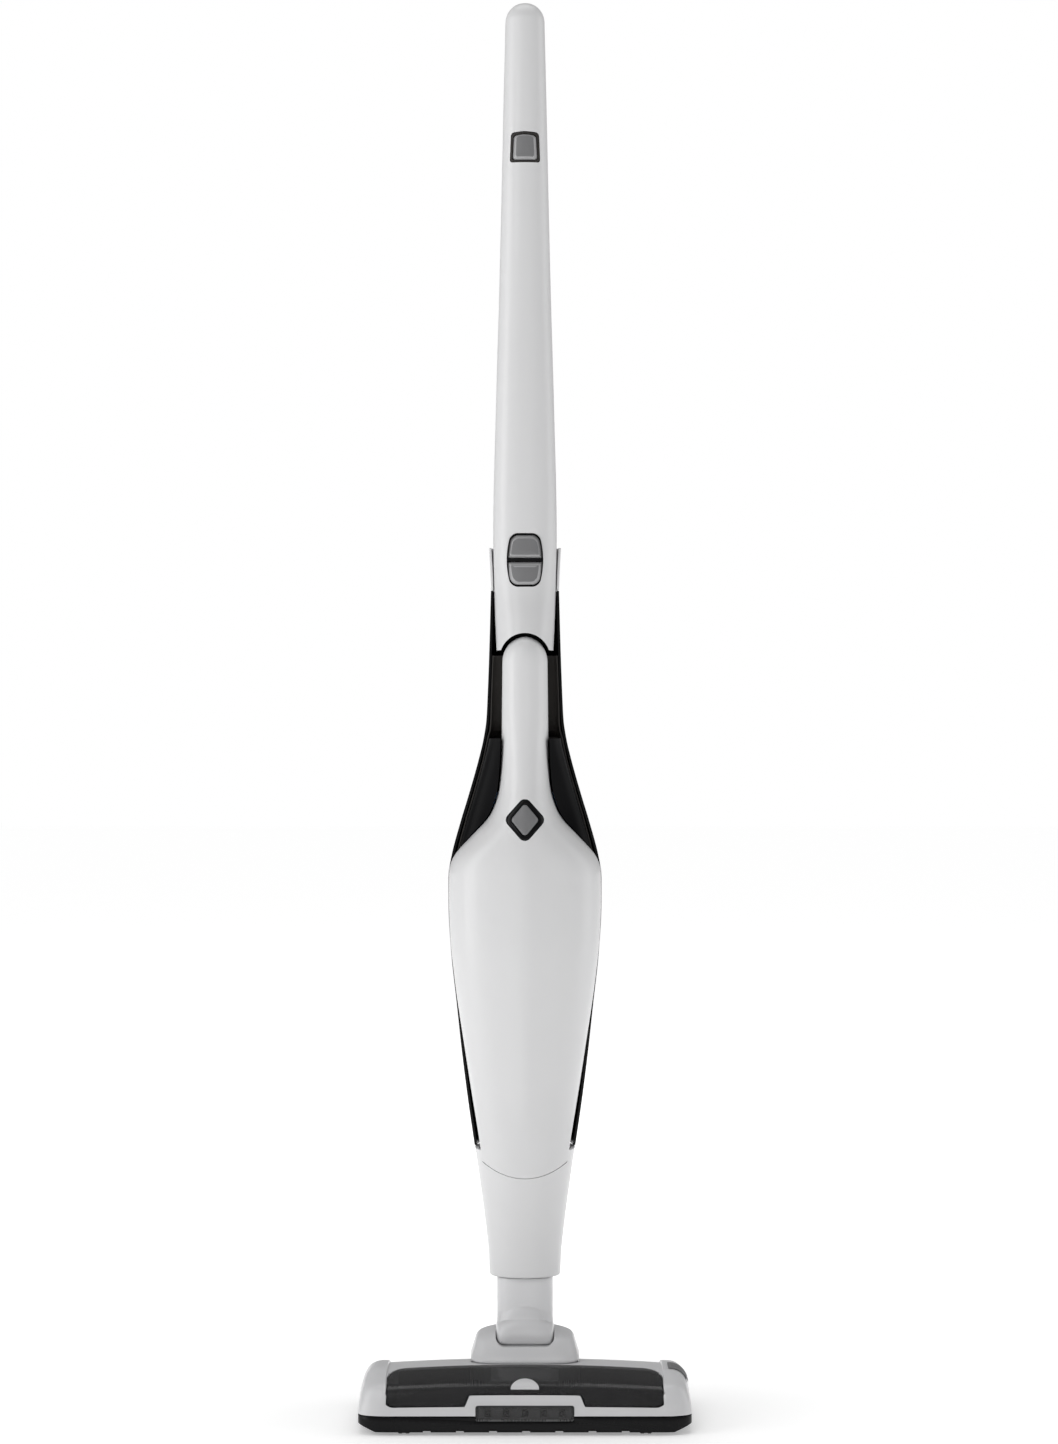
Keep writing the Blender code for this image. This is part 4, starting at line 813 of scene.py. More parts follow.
def coverRow(z, width, seam, reach, count):
    row = []
    for k in range(count):
        c = math.cos(math.pi * k / (count - 1))
        c = math.copysign(abs(c) ** 0.7, c)
        row.append(Vector((width * c, stickY + seam - 0.0002 - reach * coverShare(c, z), z)))
    return row


def handRows(table, side, low, high, count=65, tip=False):
    rows = []
    for z in heights(low, high, hand["step"]):
        width, face = curveAt(table, z)
        seam = curveAt(hand["seam"], z)[0] + (0.0010 if side > 0 else 0.0)
        if side < 0:
            rows.append(coverRow(z, width, seam, seam - face, count))
        else:
            rows.append(halfRow(z, width, seam, face - seam, side, hand["rearSection"], count))
    if tip:
        width, face = curveAt(table, high)
        seam = curveAt(hand["seam"], high)[0] + (0.0010 if side > 0 else 0.0)
        for turn in range(7, 88, 8):
            shrink = math.cos(math.radians(turn))
            z = high + (hand["tip"] - 0.0001 - high) * math.sin(math.radians(turn))
            reach = side * (face - seam) * (0.35 + 0.65 * shrink)
            if side < 0:
                rows.append(coverRow(z, width * shrink, seam, reach, count))
            else:
                rows.append(halfRow(z, width * shrink, seam, reach, side, hand["rearSection"], count))
        rows.append([Vector((0.0, stickY + seam + side * 0.0002, hand["tip"] - 0.0001))])
    return rows


def coverFace(x, z):
    width, face = curveAt(hand["front"], z)
    seam = curveAt(hand["seam"], z)[0]
    return stickY + seam - 0.0002 - (seam - face) * coverShare(x / width, z)


def belowNose(name, grow=-0.0004):
    arc = noseOutline(grow)[1:-1]
    side = arc[0][1] + 0.0006
    return prism(name, [(0.06, 0.15), (0.06, side), *arc, (-0.06, side), (-0.06, 0.15)], -0.10, 0.10, "Y")


def diamondOutline(grow):
    reachX, reachZ = 0.0128 + grow * 1.25, 0.0150 + grow * 1.25
    z = hand["diamondZ"]
    corners = [(reachX, z), (0.0, z + reachZ), (-reachX, z), (0.0, z - reachZ)]
    return arcOutline(corners, 0.0035 + grow * 0.6, 8)


def makeHandUnit():
    cover = skin("front-cover", handRows(hand["front"], -1, hand["low"], hand["tipLow"], 97, True), flip=True)
    modify(cover, "SOLIDIFY", thickness=hand["wall"], offset=-1.0)
    cut(cover, belowNose("coverCut"), prism("diamondCut", diamondOutline(0.0032), -0.08, stickY - 0.030, "Y"))
    fitOut(bake(cover), "hand_unit", "white_shell", "hand_unit_front_cover")

    rear = skin("rear-housing", handRows(hand["rear"], 1, hand["split"], hand["tipLow"], tip=True))
    modify(rear, "SOLIDIFY", thickness=hand["wall"], offset=-1.0)
    for row in range(vents["count"]):
        for side in (-1, 1):
            z = vents["low"] + row * vents["pitch"]
            x = side * vents["x"]
            slot = arcOutline(rectangle(2 * vents["reach"], vents["gap"], x, z + vents["gap"] / 2), 0.0016, 5)
            cut(rear, prism(f"ventCut{row}{side}", slot, stickY + 0.005, stickY + 0.060, "Y"))
    fitOut(bake(rear), "hand_unit", "gloss_black", "hand_unit_rear_housing")

    cup = skin("dust-cup", handRows(hand["rear"], 1, hand["low"], hand["split"] - 0.0004))
    modify(cup, "SOLIDIFY", thickness=hand["wall"], offset=-1.0)
    cut(cup, belowNose("cupCut"))
    fitOut(bake(cup), "hand_unit", "smoked", "dust_cup")

    bezel = padRing("diamond-bezel", diamondOutline(0.0028), diamondOutline(-0.0010), coverFace, 0.0002, 0.0050,
                    0.0007)
    fitOut(bake(bezel), "hand_unit", "gloss_black", "diamond_bezel")
    button = pad("diamond-button", diamondOutline(-0.0014), coverFace, 0.0006, 0.0060, slope=0.0016, drop=0.0005,
                 crown=0.0003)
    fitOut(bake(button, 20), "hand_unit_switch", "button_grey", "hand_unit_power_button")


def makeShoulder(side, name, node):
    rows = []
    for z in heights(0.4440, 0.5400, 0.004):
        outer = curveAt(stick["spine"], z)[0] - 0.0048
        seam = curveAt(hand["seam"], z)[0]
        rows.append(halfRow(z, outer, seam - 0.0002, 0.0188, -1, (2.6, 2.6), 57))
    shoulder = skin(name, rows, ring=True, caps=True)
    edge = [(curveAt(hand["front"], z)[0] + 0.0009, z) for z in heights(0.430, 0.560, 0.003)]
    outline = [(-0.07, 0.430), *edge, (-0.07, 0.560)]
    if side < 0:
        outline = [(-x, z) for x, z in reversed(outline)]
    cut(shoulder, prism(name + "Cut", outline, -0.10, 0.10, "Y"))
    fitOut(bake(shoulder), "hand_unit", "gloss_black", node, material=finishes["shoulderBlack"])


makeHandUnit()
makeShoulder(1, "shoulder-left", "shoulder_trim_left")
makeShoulder(-1, "shoulder-right", "shoulder_trim_right")
print("hand unit built")


# floor head: frame, window, base, lamps
baseLow, baseHigh = nodeCorners("head_base")
head = {
    "half": baseHigh[0], "front": baseLow[1], "baseTop": baseHigh[2], "baseBottom": baseLow[2], "middle": -0.005,
    "profile": [  # depth and height from the front lip over the top to the rear lip
        (-0.0660, 0.0150), (-0.0648, 0.0230), (-0.0620, 0.0315), (-0.0575, 0.0378), (-0.0430, 0.0432),
        (-0.0250, 0.0468), (0.0000, 0.0460), (0.0280, 0.0405), (0.0500, 0.0290), (0.0560, 0.0150)],
    "windowHalf": 0.107, "windowCorner": 0.015, "notch": 0.0478, "notchSlope": 0.0042,
    "tabRadius": nodeCorners("window_release_tab")[1][0], "lensHalf": nodeCorners("headlight_lens")[1][0],
    "lensZ": nodeMiddle("headlight_lens")[2], "lensHeight": 0.0122, "lensCorner": 0.0020, "wall": 0.0020,
}
wheelAt = nodeMiddle("rear_wheel_right")  # each one stands on the floor, so its height is its radius
rollerAt = nodeMiddle("front_roller_right")
brushAt = nodeMiddle("bristle_sleeve")
profileTable = [(i / (len(head["profile"]) - 1), y, z) for i, (y, z) in enumerate(head["profile"])]


# how much the head's section shrinks towards its ends: 1 in the middle, 0 at the very end
def headEnd(x, start, power):
    beyond = (abs(x) - start) / (head["half"] - start)
    return 1.0 if beyond <= 0 else max(0.0, 1 - beyond**power) ** (1 / power)


# a point on the head's top surface: along runs from 0 at the front lip to 1 at the rear lip
def headPoint(x, along, out=0.0):
    y, z = curveAt(profileTable, along)
    rise = headEnd(x, 0.112, 2.6)
    depth = 0.80 + 0.20 * headEnd(x, 0.106, 2.2)
    crown = 1 - 0.115 * min(1.0, (x / 0.107) ** 2)
    cap = min(1.0, max(0.0, (abs(x) - 0.1078) / 0.0008))
    rise *= crown + 0.060 * cap
    place = Vector((x, head["middle"] + (y - head["middle"]) * depth, head["baseTop"] + 0.0009 + (z - 0.015) * rise))
    if not out:
        return place
    step = 0.002
    da = headPoint(x, min(1.0, along + step)) - headPoint(x, max(0.0, along - step))
    dx = headPoint(min(x + step, 0.1299), along) - headPoint(max(x - step, -0.1299), along)
    return place + dx.cross(da).normalized() * out


# where the window starts and ends along the profile at this x: a raised step in front, bowed behind
def windowLimits(x, grow):
    step = min(1.0, max(0.0, (head["notch"] - grow - abs(x)) / head["notchSlope"]))
    step = step * step * (3 - 2 * step) * 0.35 + step * 0.65
    low = 0.115 + 0.110 * step - grow * 18
    corner = head["windowCorner"]
    inwards = max(0.0, abs(x) - (head["windowHalf"] + grow - corner)) / corner
    rounding = 1 - math.sqrt(max(0.0, 1 - inwards**2))
    low += 0.035 * max(0.0, (inwards - 0.60) / 0.40) ** 2
    return low, 0.550 - 0.120 * rounding + grow * 6


# a curved slab on the head's top surface, between two heights over that surface
def slab(name, xs, limits, inner, outer, steps, rim=0.0):
    rows = []
    for x in xs:
        low, high = limits(x)
        shares = [k / steps for k in range(steps + 1)]
        top = [headPoint(x, low + (high - low) * t, outer) for t in shares]
        if rim:
            span = (headPoint(x, high) - headPoint(x, low)).length or 1
            t0 = min(0.3, rim / span)
            top = [headPoint(x, low, outer - rim), headPoint(x, low + (high - low) * t0 * 0.3, outer - rim * 0.3)]
            top += [headPoint(x, low + (high - low) * (t0 + (1 - 2 * t0) * t), outer) for t in shares]
            top += [headPoint(x, high - (high - low) * t0 * 0.3, outer - rim * 0.3), headPoint(x, high, outer - rim)]
        bottom = [headPoint(x, low + (high - low) * t, inner) for t in reversed(shares)]
        rows.append(top + bottom)
    return skin(name, rows, ring=True, caps=True)


def windowPatch(name, grow, inner, outer, rim=0.0):
    edge = head["windowHalf"] + grow
    xs = [inwards - edge for inwards in (
        0.0, 0.0002, 0.0006, 0.0012, 0.0020, 0.0032, 0.0045, 0.0062, 0.0080, 0.0100, 0.0120, 0.0135, 0.0150, 0.0190,
        0.0230, 0.0280, 0.0340, 0.0390, 0.0440, 0.0500)]
    notch = [-0.0479 + grow + 0.00035 * k for k in range(13)]
    xs = [x for x in xs if x < notch[0] - 0.0005] + notch + [-0.040 + 0.004 * k for k in range(11)]
    xs = sorted({round(x, 6) for x in xs} | {round(-x, 6) for x in xs})
    return slab(name, xs, lambda x: windowLimits(x, grow), inner, outer, 26, rim)


def tabPatch(name, grow, inner, outer, rim=0.0):
    radius = head["tabRadius"] + grow
    xs = [radius * math.sin(math.radians(a)) for a in range(-90, 91, 6)]

    def limits(x):
        rise = 0.105 * math.sqrt(max(0.0, 1 - (x / radius) ** 2))
        return 0.272 - grow * 14, 0.280 + rise + grow * 10

    return slab(name, xs, limits, inner, outer, 8, rim)


def lensCutter(name):
    outline = rectangle(2 * head["lensHalf"] + 0.0004, head["lensHeight"] + 0.0004, 0.0, head["lensZ"])
    return prism(name, arcOutline(outline, head["lensCorner"] + 0.0001, 8), -0.08, head["front"] + 0.0082, "Y")


def wheelWells(name):
    return [block(f"{name}{side}", (side * wheelAt[0] - 0.0075, 0.0345, -0.01),
                  (side * wheelAt[0] + 0.0075, 0.080, 0.0310)) for side in (-1, 1)]


def makeHeadFrame():
    xs = [0.004 * k for k in range(27)] + [0.1060, 0.1070, 0.1078, 0.1080, 0.1082, 0.1084, 0.1086, 0.1100]
    xs += [0.112 + 0.0015 * k for k in range(9)] + [0.1255, 0.1268, 0.1279, 0.1287, 0.1293, 0.1297, 0.12995]
    xs = sorted({round(x, 6) for x in xs} | {round(-x, 6) for x in xs})
    shares = sorted({k / 72 for k in range(73)} | {(k + 0.5) / 72 for k in range(18, 30)})
    rows = [[headPoint(x, t) for t in shares] for x in xs]
    foot = rows[0][0].z
    # the ends close down to the base
    left, right = ([Vector((p.x, p.y, foot)) for p in rows[end]] for end in (0, -1))
    frameTop = tidy(skin("head-frame", [left, *rows, right], flip=True))
    modify(frameTop, "SOLIDIFY", thickness=head["wall"], offset=-1.0)
    cutters = [windowPatch("windowCut", 0.0009, -0.012, 0.006), lensCutter("lensCut"),
               block("yokeCut", (-0.0430, -0.0130, 0.018), (0.0430, 0.0465, 0.060)),
               block("foldCut", (-0.0246, 0.020, 0.008), (0.0246, 0.080, 0.060))]
    cut(frameTop, *cutters, *wheelWells("wellCut"))
    modify(frameTop, "BEVEL", width=0.0006, segments=2, limit_method="ANGLE", angle_limit=math.radians(55))
    fitOut(bake(frameTop), "floor_head", "light_grey", "head_top_frame")


def makeHeadBase():
    bends = [0.1065 + 0.0012 * k for k in range(20)]
    bends = [x for x in bends if x < 0.1296] + [0.12995]
    bends = [-x for x in reversed(bends)] + bends
    corners = [(x, headPoint(x, 0.0).y) for x in bends] + [(x, headPoint(x, 1.0).y) for x in reversed(bends)]
    base = prism("head-base", corners, head["baseBottom"], head["baseTop"], "Z")
    inner = [(x * 0.978, y * 0.955) for x, y in corners]
    mouth = arcOutline(rectangle(0.212, 0.0385, 0.0, -0.0365), 0.004, 8)
    wheelY = wheelAt[1]
    cutters = [prism("pocketCut", inner, 0.0050, 0.030, "Z"), prism("mouthCut", mouth, -0.01, 0.03, "Z"),
               lensCutter("baseLensCut"),
               block("axleCut", (-0.110, wheelY - 0.0024, 0.0120), (0.110, wheelY + 0.0024, 0.0300)),
               block("baseFoldCut", (-0.0246, 0.0465, 0.0105), (0.0246, 0.080, 0.060))]
    wells = wheelWells("baseWellCut")
    for side, well in zip((-1, 1), wells):
        cutters.append(well)
        x = side * rollerAt[0]
        cutters.append(block(f"rollerCut{side}", (x - 0.0068, -0.0640, -0.01), (x + 0.0068, -0.0528, 0.030)))
        chamfer = [(side * 0.116, -0.001), (side * 0.116, head["baseBottom"]), (side * 0.1310, 0.0085),
                   (side * 0.1310, -0.001)][::side]
        cutters.append(prism(f"chamferCut{side}", chamfer, -0.10, 0.10, "Y"))
    cutters.append(makeComb())
    cut(base, *cutters)
    modify(base, "BEVEL", width=0.0004, segments=2, limit_method="ANGLE", angle_limit=math.radians(50))
    fitOut(bake(base), "floor_head", "gloss_black", "head_base")


# the pale roof of the suction duct, just under the window
def makeDuctRoof():
    half = nodeCorners("suction_mouth_duct")[1][0] - 0.0004
    xs = [half * (k - 20) / 20 for k in range(41)]
    roof = slab("duct-roof", xs, lambda x: (0.405, 0.535), -0.0032, -0.0019, 12, 0.0003)
    fitOut(bake(roof, 40), "floor_head", "light_grey")


# the wall behind the brush, one panel on each side of the duct
def makeChamberWall():
    wall = {"near": 0.0434, "far": 0.1000, "low": 0.0146, "front": -0.0132, "rear": -0.0122, "under": -0.0038}
    for side, name in ((-1, "chamber-wall-left"), (1, "chamber-wall-right")):
        top = []
        for k in range(13):
            x = side * (wall["near"] + (wall["far"] - wall["near"]) * k / 12)
            points = [headPoint(x, t / 400, wall["under"]) for t in range(401)]
            top.append((x, min(points, key=lambda p: abs(p.y - wall["front"]) - 0.2 * (p.z > 0.015)).z))
        outline = [(side * wall["near"], wall["low"]), (side * wall["far"], wall["low"]), *reversed(top)]
        panel = prism(name, outline if side > 0 else outline[::-1], wall["front"], wall["rear"], "Y")
        fitOut(bake(panel), "floor_head", "dark_matte")


def makeHeadWindow():
    window = windowPatch("brush-window", 0.0, -0.0016, 0.0003, 0.0003)
    cut(window, tabPatch("tabCut", 0.0005, -0.008, 0.008))
    tint = mouldedPlastic("window smoke", (0.034, 0.034, 0.035), 0.16, peel=0.02, tint=0.1, alpha=0.58, specular=0.42)
    fitOut(bake(window, 24), "window", "smoked", "brush_window", material=tint)
    fitOut(bake(tabPatch("window-tab", 0.0, -0.0008, 0.0013, 0.0004), 40), "window_tab", "light_grey",
           "window_release_tab")


def makeLens():
    y = head["front"]
    rows = []
    for inwards, depth in ((0.0, 0.0016), (0.0, 0.0005), (0.0002, 0.00015), (0.0006, 0.0)):
        edges = rectangle(2 * (head["lensHalf"] - inwards), head["lensHeight"] - 2 * inwards, 0.0, head["lensZ"])
        outline = arcOutline(edges, head["lensCorner"] - inwards, 8)
        rows.append([Vector((x, y + depth, z)) for x, z in outline])
    clear = mouldedPlastic("lamp lens", (0.030, 0.030, 0.031), 0.20, peel=0.02, tint=0.1, alpha=0.56, specular=0.4)
    lens = bake(skin("lamp-lens", rows, ring=True, caps=True))
    fitOut(lens, "floor_head", "smoked", "headlight_lens", material=clear)


# repeated details, laid out by node trees
def setInputs(modifier, values):
    tree = modifier.node_group
    for item in tree.interface.items_tree:
        if item.item_type == "SOCKET" and item.in_out == "INPUT" and item.name in values:
            modifier[item.identifier] = values[item.name]


class Layout:
    def __init__(self, name, inputs):
        self.tree = bpy.data.node_groups.new(name, "GeometryNodeTree")
        kinds = {float: "NodeSocketFloat", int: "NodeSocketInt", "material": "NodeSocketMaterial"}
        for key, kind in inputs.items():
            self.tree.interface.new_socket(key, in_out="INPUT", socket_type=kinds[kind])
        self.tree.interface.new_socket("Geometry", in_out="OUTPUT", socket_type="NodeSocketGeometry")
        self.inputs = self.add("NodeGroupInput")

    def add(self, kind, settings=None, sockets=None):
        node = self.tree.nodes.new(kind)
        for key, value in (settings or {}).items():
            setattr(node, key, value)
        for key, value in (sockets or {}).items():
            if hasattr(value, "is_output"):
                self.tree.links.new(value, node.inputs[key])
            else:
                node.inputs[key].default_value = value
        return node

    def input(self, name):
        return self.inputs.outputs[name]

    def math(self, operation, *values):
        return self.add("ShaderNodeMath", {"operation": operation}, dict(enumerate(values))).outputs[0]

    def vector(self, x=0.0, y=0.0, z=0.0):
        return self.add("ShaderNodeCombineXYZ", None, {"X": x, "Y": y, "Z": z}).outputs[0]

    def finish(self, geometry):
        whole = self.add("GeometryNodeRealizeInstances", None, {"Geometry": geometry})
        painted = self.add("GeometryNodeSetMaterial", None, {"Geometry": whole.outputs[0],
                                                             "Material": self.input("Material")})
        out = self.tree.nodes.new("NodeGroupOutput")
        self.tree.links.new(painted.outputs[0], out.inputs[0])
        return self.tree


# the tree's result as a plain mesh piece
def grow(name, tree, values, material):
    piece = link(name, bpy.data.meshes.new(name))
    made = piece.modifiers.new("Layout", "NODES")
    made.node_group = tree
    setInputs(made, {**values, "Material": material})
    bpy.context.view_layer.update()
    graph = bpy.context.evaluated_depsgraph_get()
    mesh = bpy.data.meshes.new_from_object(piece.evaluated_get(graph), depsgraph=graph)
    piece.modifiers.clear()
    piece.data = mesh
    return piece


comb = {"count": 7, "pitch": 0.0257, "shift": 0.001, "width": 0.006}


# the row of notches under the front lip, as one cutter
def makeComb():
    plan = Layout("comb notches", {"Count": int, "Pitch": float, "Shift": float, "Width": float,
                                   "Material": "material"})
    first = plan.math("SUBTRACT", plan.input("Shift"),
                      plan.math("MULTIPLY", plan.input("Pitch"), plan.math("MULTIPLY", plan.math(
                          "SUBTRACT", plan.input("Count"), 1.0), 0.5)))
    line = plan.add("GeometryNodeMeshLine", None, {"Count": plan.input("Count"),
                                                   "Start Location": plan.vector(first, -0.07075, -0.0024),
                                                   "Offset": plan.vector(plan.input("Pitch"))})
    notch = plan.add("GeometryNodeMeshCube", None, {"Size": plan.vector(plan.input("Width"), 0.0185, 0.0152)})
    copies = plan.add("GeometryNodeInstanceOnPoints", None, {"Points": line.outputs[0],
                                                             "Instance": notch.outputs["Mesh"]})
    values = {"Count": comb["count"], "Pitch": comb["pitch"], "Shift": comb["shift"], "Width": comb["width"]}
    return grow("combCut", plan.finish(copies.outputs[0]), values, finishes["gloss_black"])


makeHeadFrame()
makeHeadBase()
makeHeadWindow()
makeDuctRoof()
makeChamberWall()
makeLens()
print("head shells built")


# neck and the housing that it folds in
neck = {
    "rows": [  # height, half width, front, rear, from the stick's axis
        (0.0480, 0.0231, -0.0195, 0.0195), (0.0660, 0.0232, -0.0195, 0.0195), (0.0720, 0.0230, -0.0195, 0.0195),
        (0.0780, 0.0224, -0.0195, 0.0195), (0.1114, 0.0224, -0.0195, 0.0195)],
    "pivotZ": nodeMiddle("pivot_pin_left")[2], "knuckleRadius": 0.0215, "knuckleHalf": nodeCorners("neck_tube")[1][0],
    "spigot": 0.0190, "bore": 0.0150,
    "band": (0.0590, 0.0815, 0.0070, 0.0062), "dome": (0.0790, 0.0100, 0.0165, 0.0030),
}
yoke = {
    "rows": [  # height, half width, front, rear
        (0.0180, 0.0425, -0.0124, 0.0460), (0.0463, 0.0425, -0.0124, 0.0460), (0.0466, 0.0428, -0.0222, 0.0460),
        (0.0472, 0.0432, -0.0234, 0.0461), (0.0484, 0.0433, -0.0237, 0.0461), (0.0496, 0.0430, -0.0229, 0.0459),
        (0.0512, 0.0425, -0.0210, 0.0455), (0.0560, 0.0410, -0.0172, 0.0442), (0.0610, 0.0394, -0.0136, 0.0424),
        (0.0636, 0.0376, -0.0112, 0.0404), (0.0654, 0.0346, -0.0086, 0.0378), (0.0672, 0.0298, -0.0056, 0.0345),
        (0.0688, 0.0244, -0.0030, 0.0310)],
    "section": (4.5, 4.5), "notchHalf": 0.0234, "notchLow": 0.0584,
}


# how far the knuckle's band and the small dome over it stand out of the neck's front
def neckBulge(x, z):
    low, high, arch, height = neck["band"]
    across = x / 0.0228
    high -= arch * across**2
    share = (z - (low + high) / 2) / ((high - low) / 2)
    band = height * max(0.0, 1 - share**2) ** 0.62 * max(0.0, 1 - across**8) ** 0.5
    middle, reach, half, height = neck["dome"]
    dome = height * max(0.0, 1 - (x / half) ** 2 - ((z - middle) / reach) ** 2) ** 0.7
    return max(band, dome)


def makeNeck():
    rows = []
    for z in [0.0480, 0.0540, *heights(0.0580, 0.0900, 0.0006), *heights(0.0920, 0.1100, 0.004), 0.1110, 0.1113]:
        draw = -0.0006 if z > 0.1112 else -0.0002 if z > 0.1109 else 0.0
        square = 3.0 + 3.0 * smoothStep(-z, -0.086, -0.070)
        row = wholeRow(z, *curveAt(neck["rows"], z), (square, square), 144, draw)
        for point in row:
            if point.y < stickY - 0.008 and 0.0585 < z < 0.0895:
                share = min(1.0, (stickY - 0.008 - point.y) / 0.008)
                point.y -= neckBulge(point.x, z) * share
        rows.append(row)
    body = skin("neck", rows, ring=True, caps=True)
    pivot = (stickY, neck["pivotZ"])
    half = neck["knuckleHalf"]
    join(body, bar("knuckle", neck["knuckleRadius"], -half, half, "X", pivot, 96, 0.0008),
         bar("spigot", neck["spigot"], 0.1104, 0.1335, "Z", (0.0, stickY), 96, 0.0006))
    cut(body, bar("neckBore", neck["bore"], 0.040, 0.20, "Z", (0.0, stickY), 64),
        bar("knucklePort", 0.0110, -0.05, stickY, "Y", (0.0, 0.0390), 48),
        bar("pinBore", 0.0053, -0.05, 0.05, "X", pivot, 32))
    fitOut(bake(body), "neck", "light_grey", "neck_tube")


def makeYoke():
    rows = []
    levels = [0.0180, 0.0300, 0.0440, 0.0460, 0.0463, 0.0464, 0.0466, 0.0469, 0.0472, 0.0476, 0.0480, 0.0484, 0.0488,
              0.0492, 0.0496, 0.0501, 0.0506, *heights(0.0512, 0.0680, 0.0010)]
    for z in [*levels, 0.0684, 0.0688]:
        width, front, rear = curveAt(yoke["rows"], z)
        rows.append(wholeRow(z, width, front - stickY, rear - stickY, yoke["section"], 144))
    body = skin("yoke", rows, ring=True, caps=True)
    half = yoke["notchHalf"]
    pivot = (stickY, neck["pivotZ"])
    notch = arcOutline([(-half, yoke["notchLow"]), (half, yoke["notchLow"]), (half, 0.0850), (-half, 0.0850)],
                       [0.0075, 0.0075, 0.001, 0.001], 10)
    cut(body, bar("knuckleRoom", neck["knuckleRadius"] + 0.0006, -half, half, "X", pivot, 96),
        block("neckRoom", (-half, stickY - 0.0203, 0.0500), (half, 0.080, 0.080)),
        block("foldRoom", (-half, stickY, 0.0225), (half, 0.080, 0.080)),
        prism("apronNotch", notch, -0.050, stickY - 0.015, "Y"),
        block("housingPort", (-0.0150, -0.030, 0.0260), (0.0150, stickY - 0.010, 0.0420)),
        bar("pinHoles", 0.0053, -0.0400, 0.0400, "X", pivot, 32))
    fitOut(bake(body, 38), "floor_head", "light_grey", "swivel_housing")


makeNeck()
makeYoke()
print("neck built")


# brush roll, wheels, slider and the repeated small parts
brush = {"x": (nodeCorners("bristle_sleeve")[0][0] + 0.0020, nodeCorners("bristle_sleeve")[1][0] - 0.0020),
         "rows": 4, "perRow": 72, "sweep": 150.0, "inner": 0.0108, "outer": 0.0180,
         "strand": 0.00042, "lean": 0.16, "spread": 0.0011, "seed": 4}


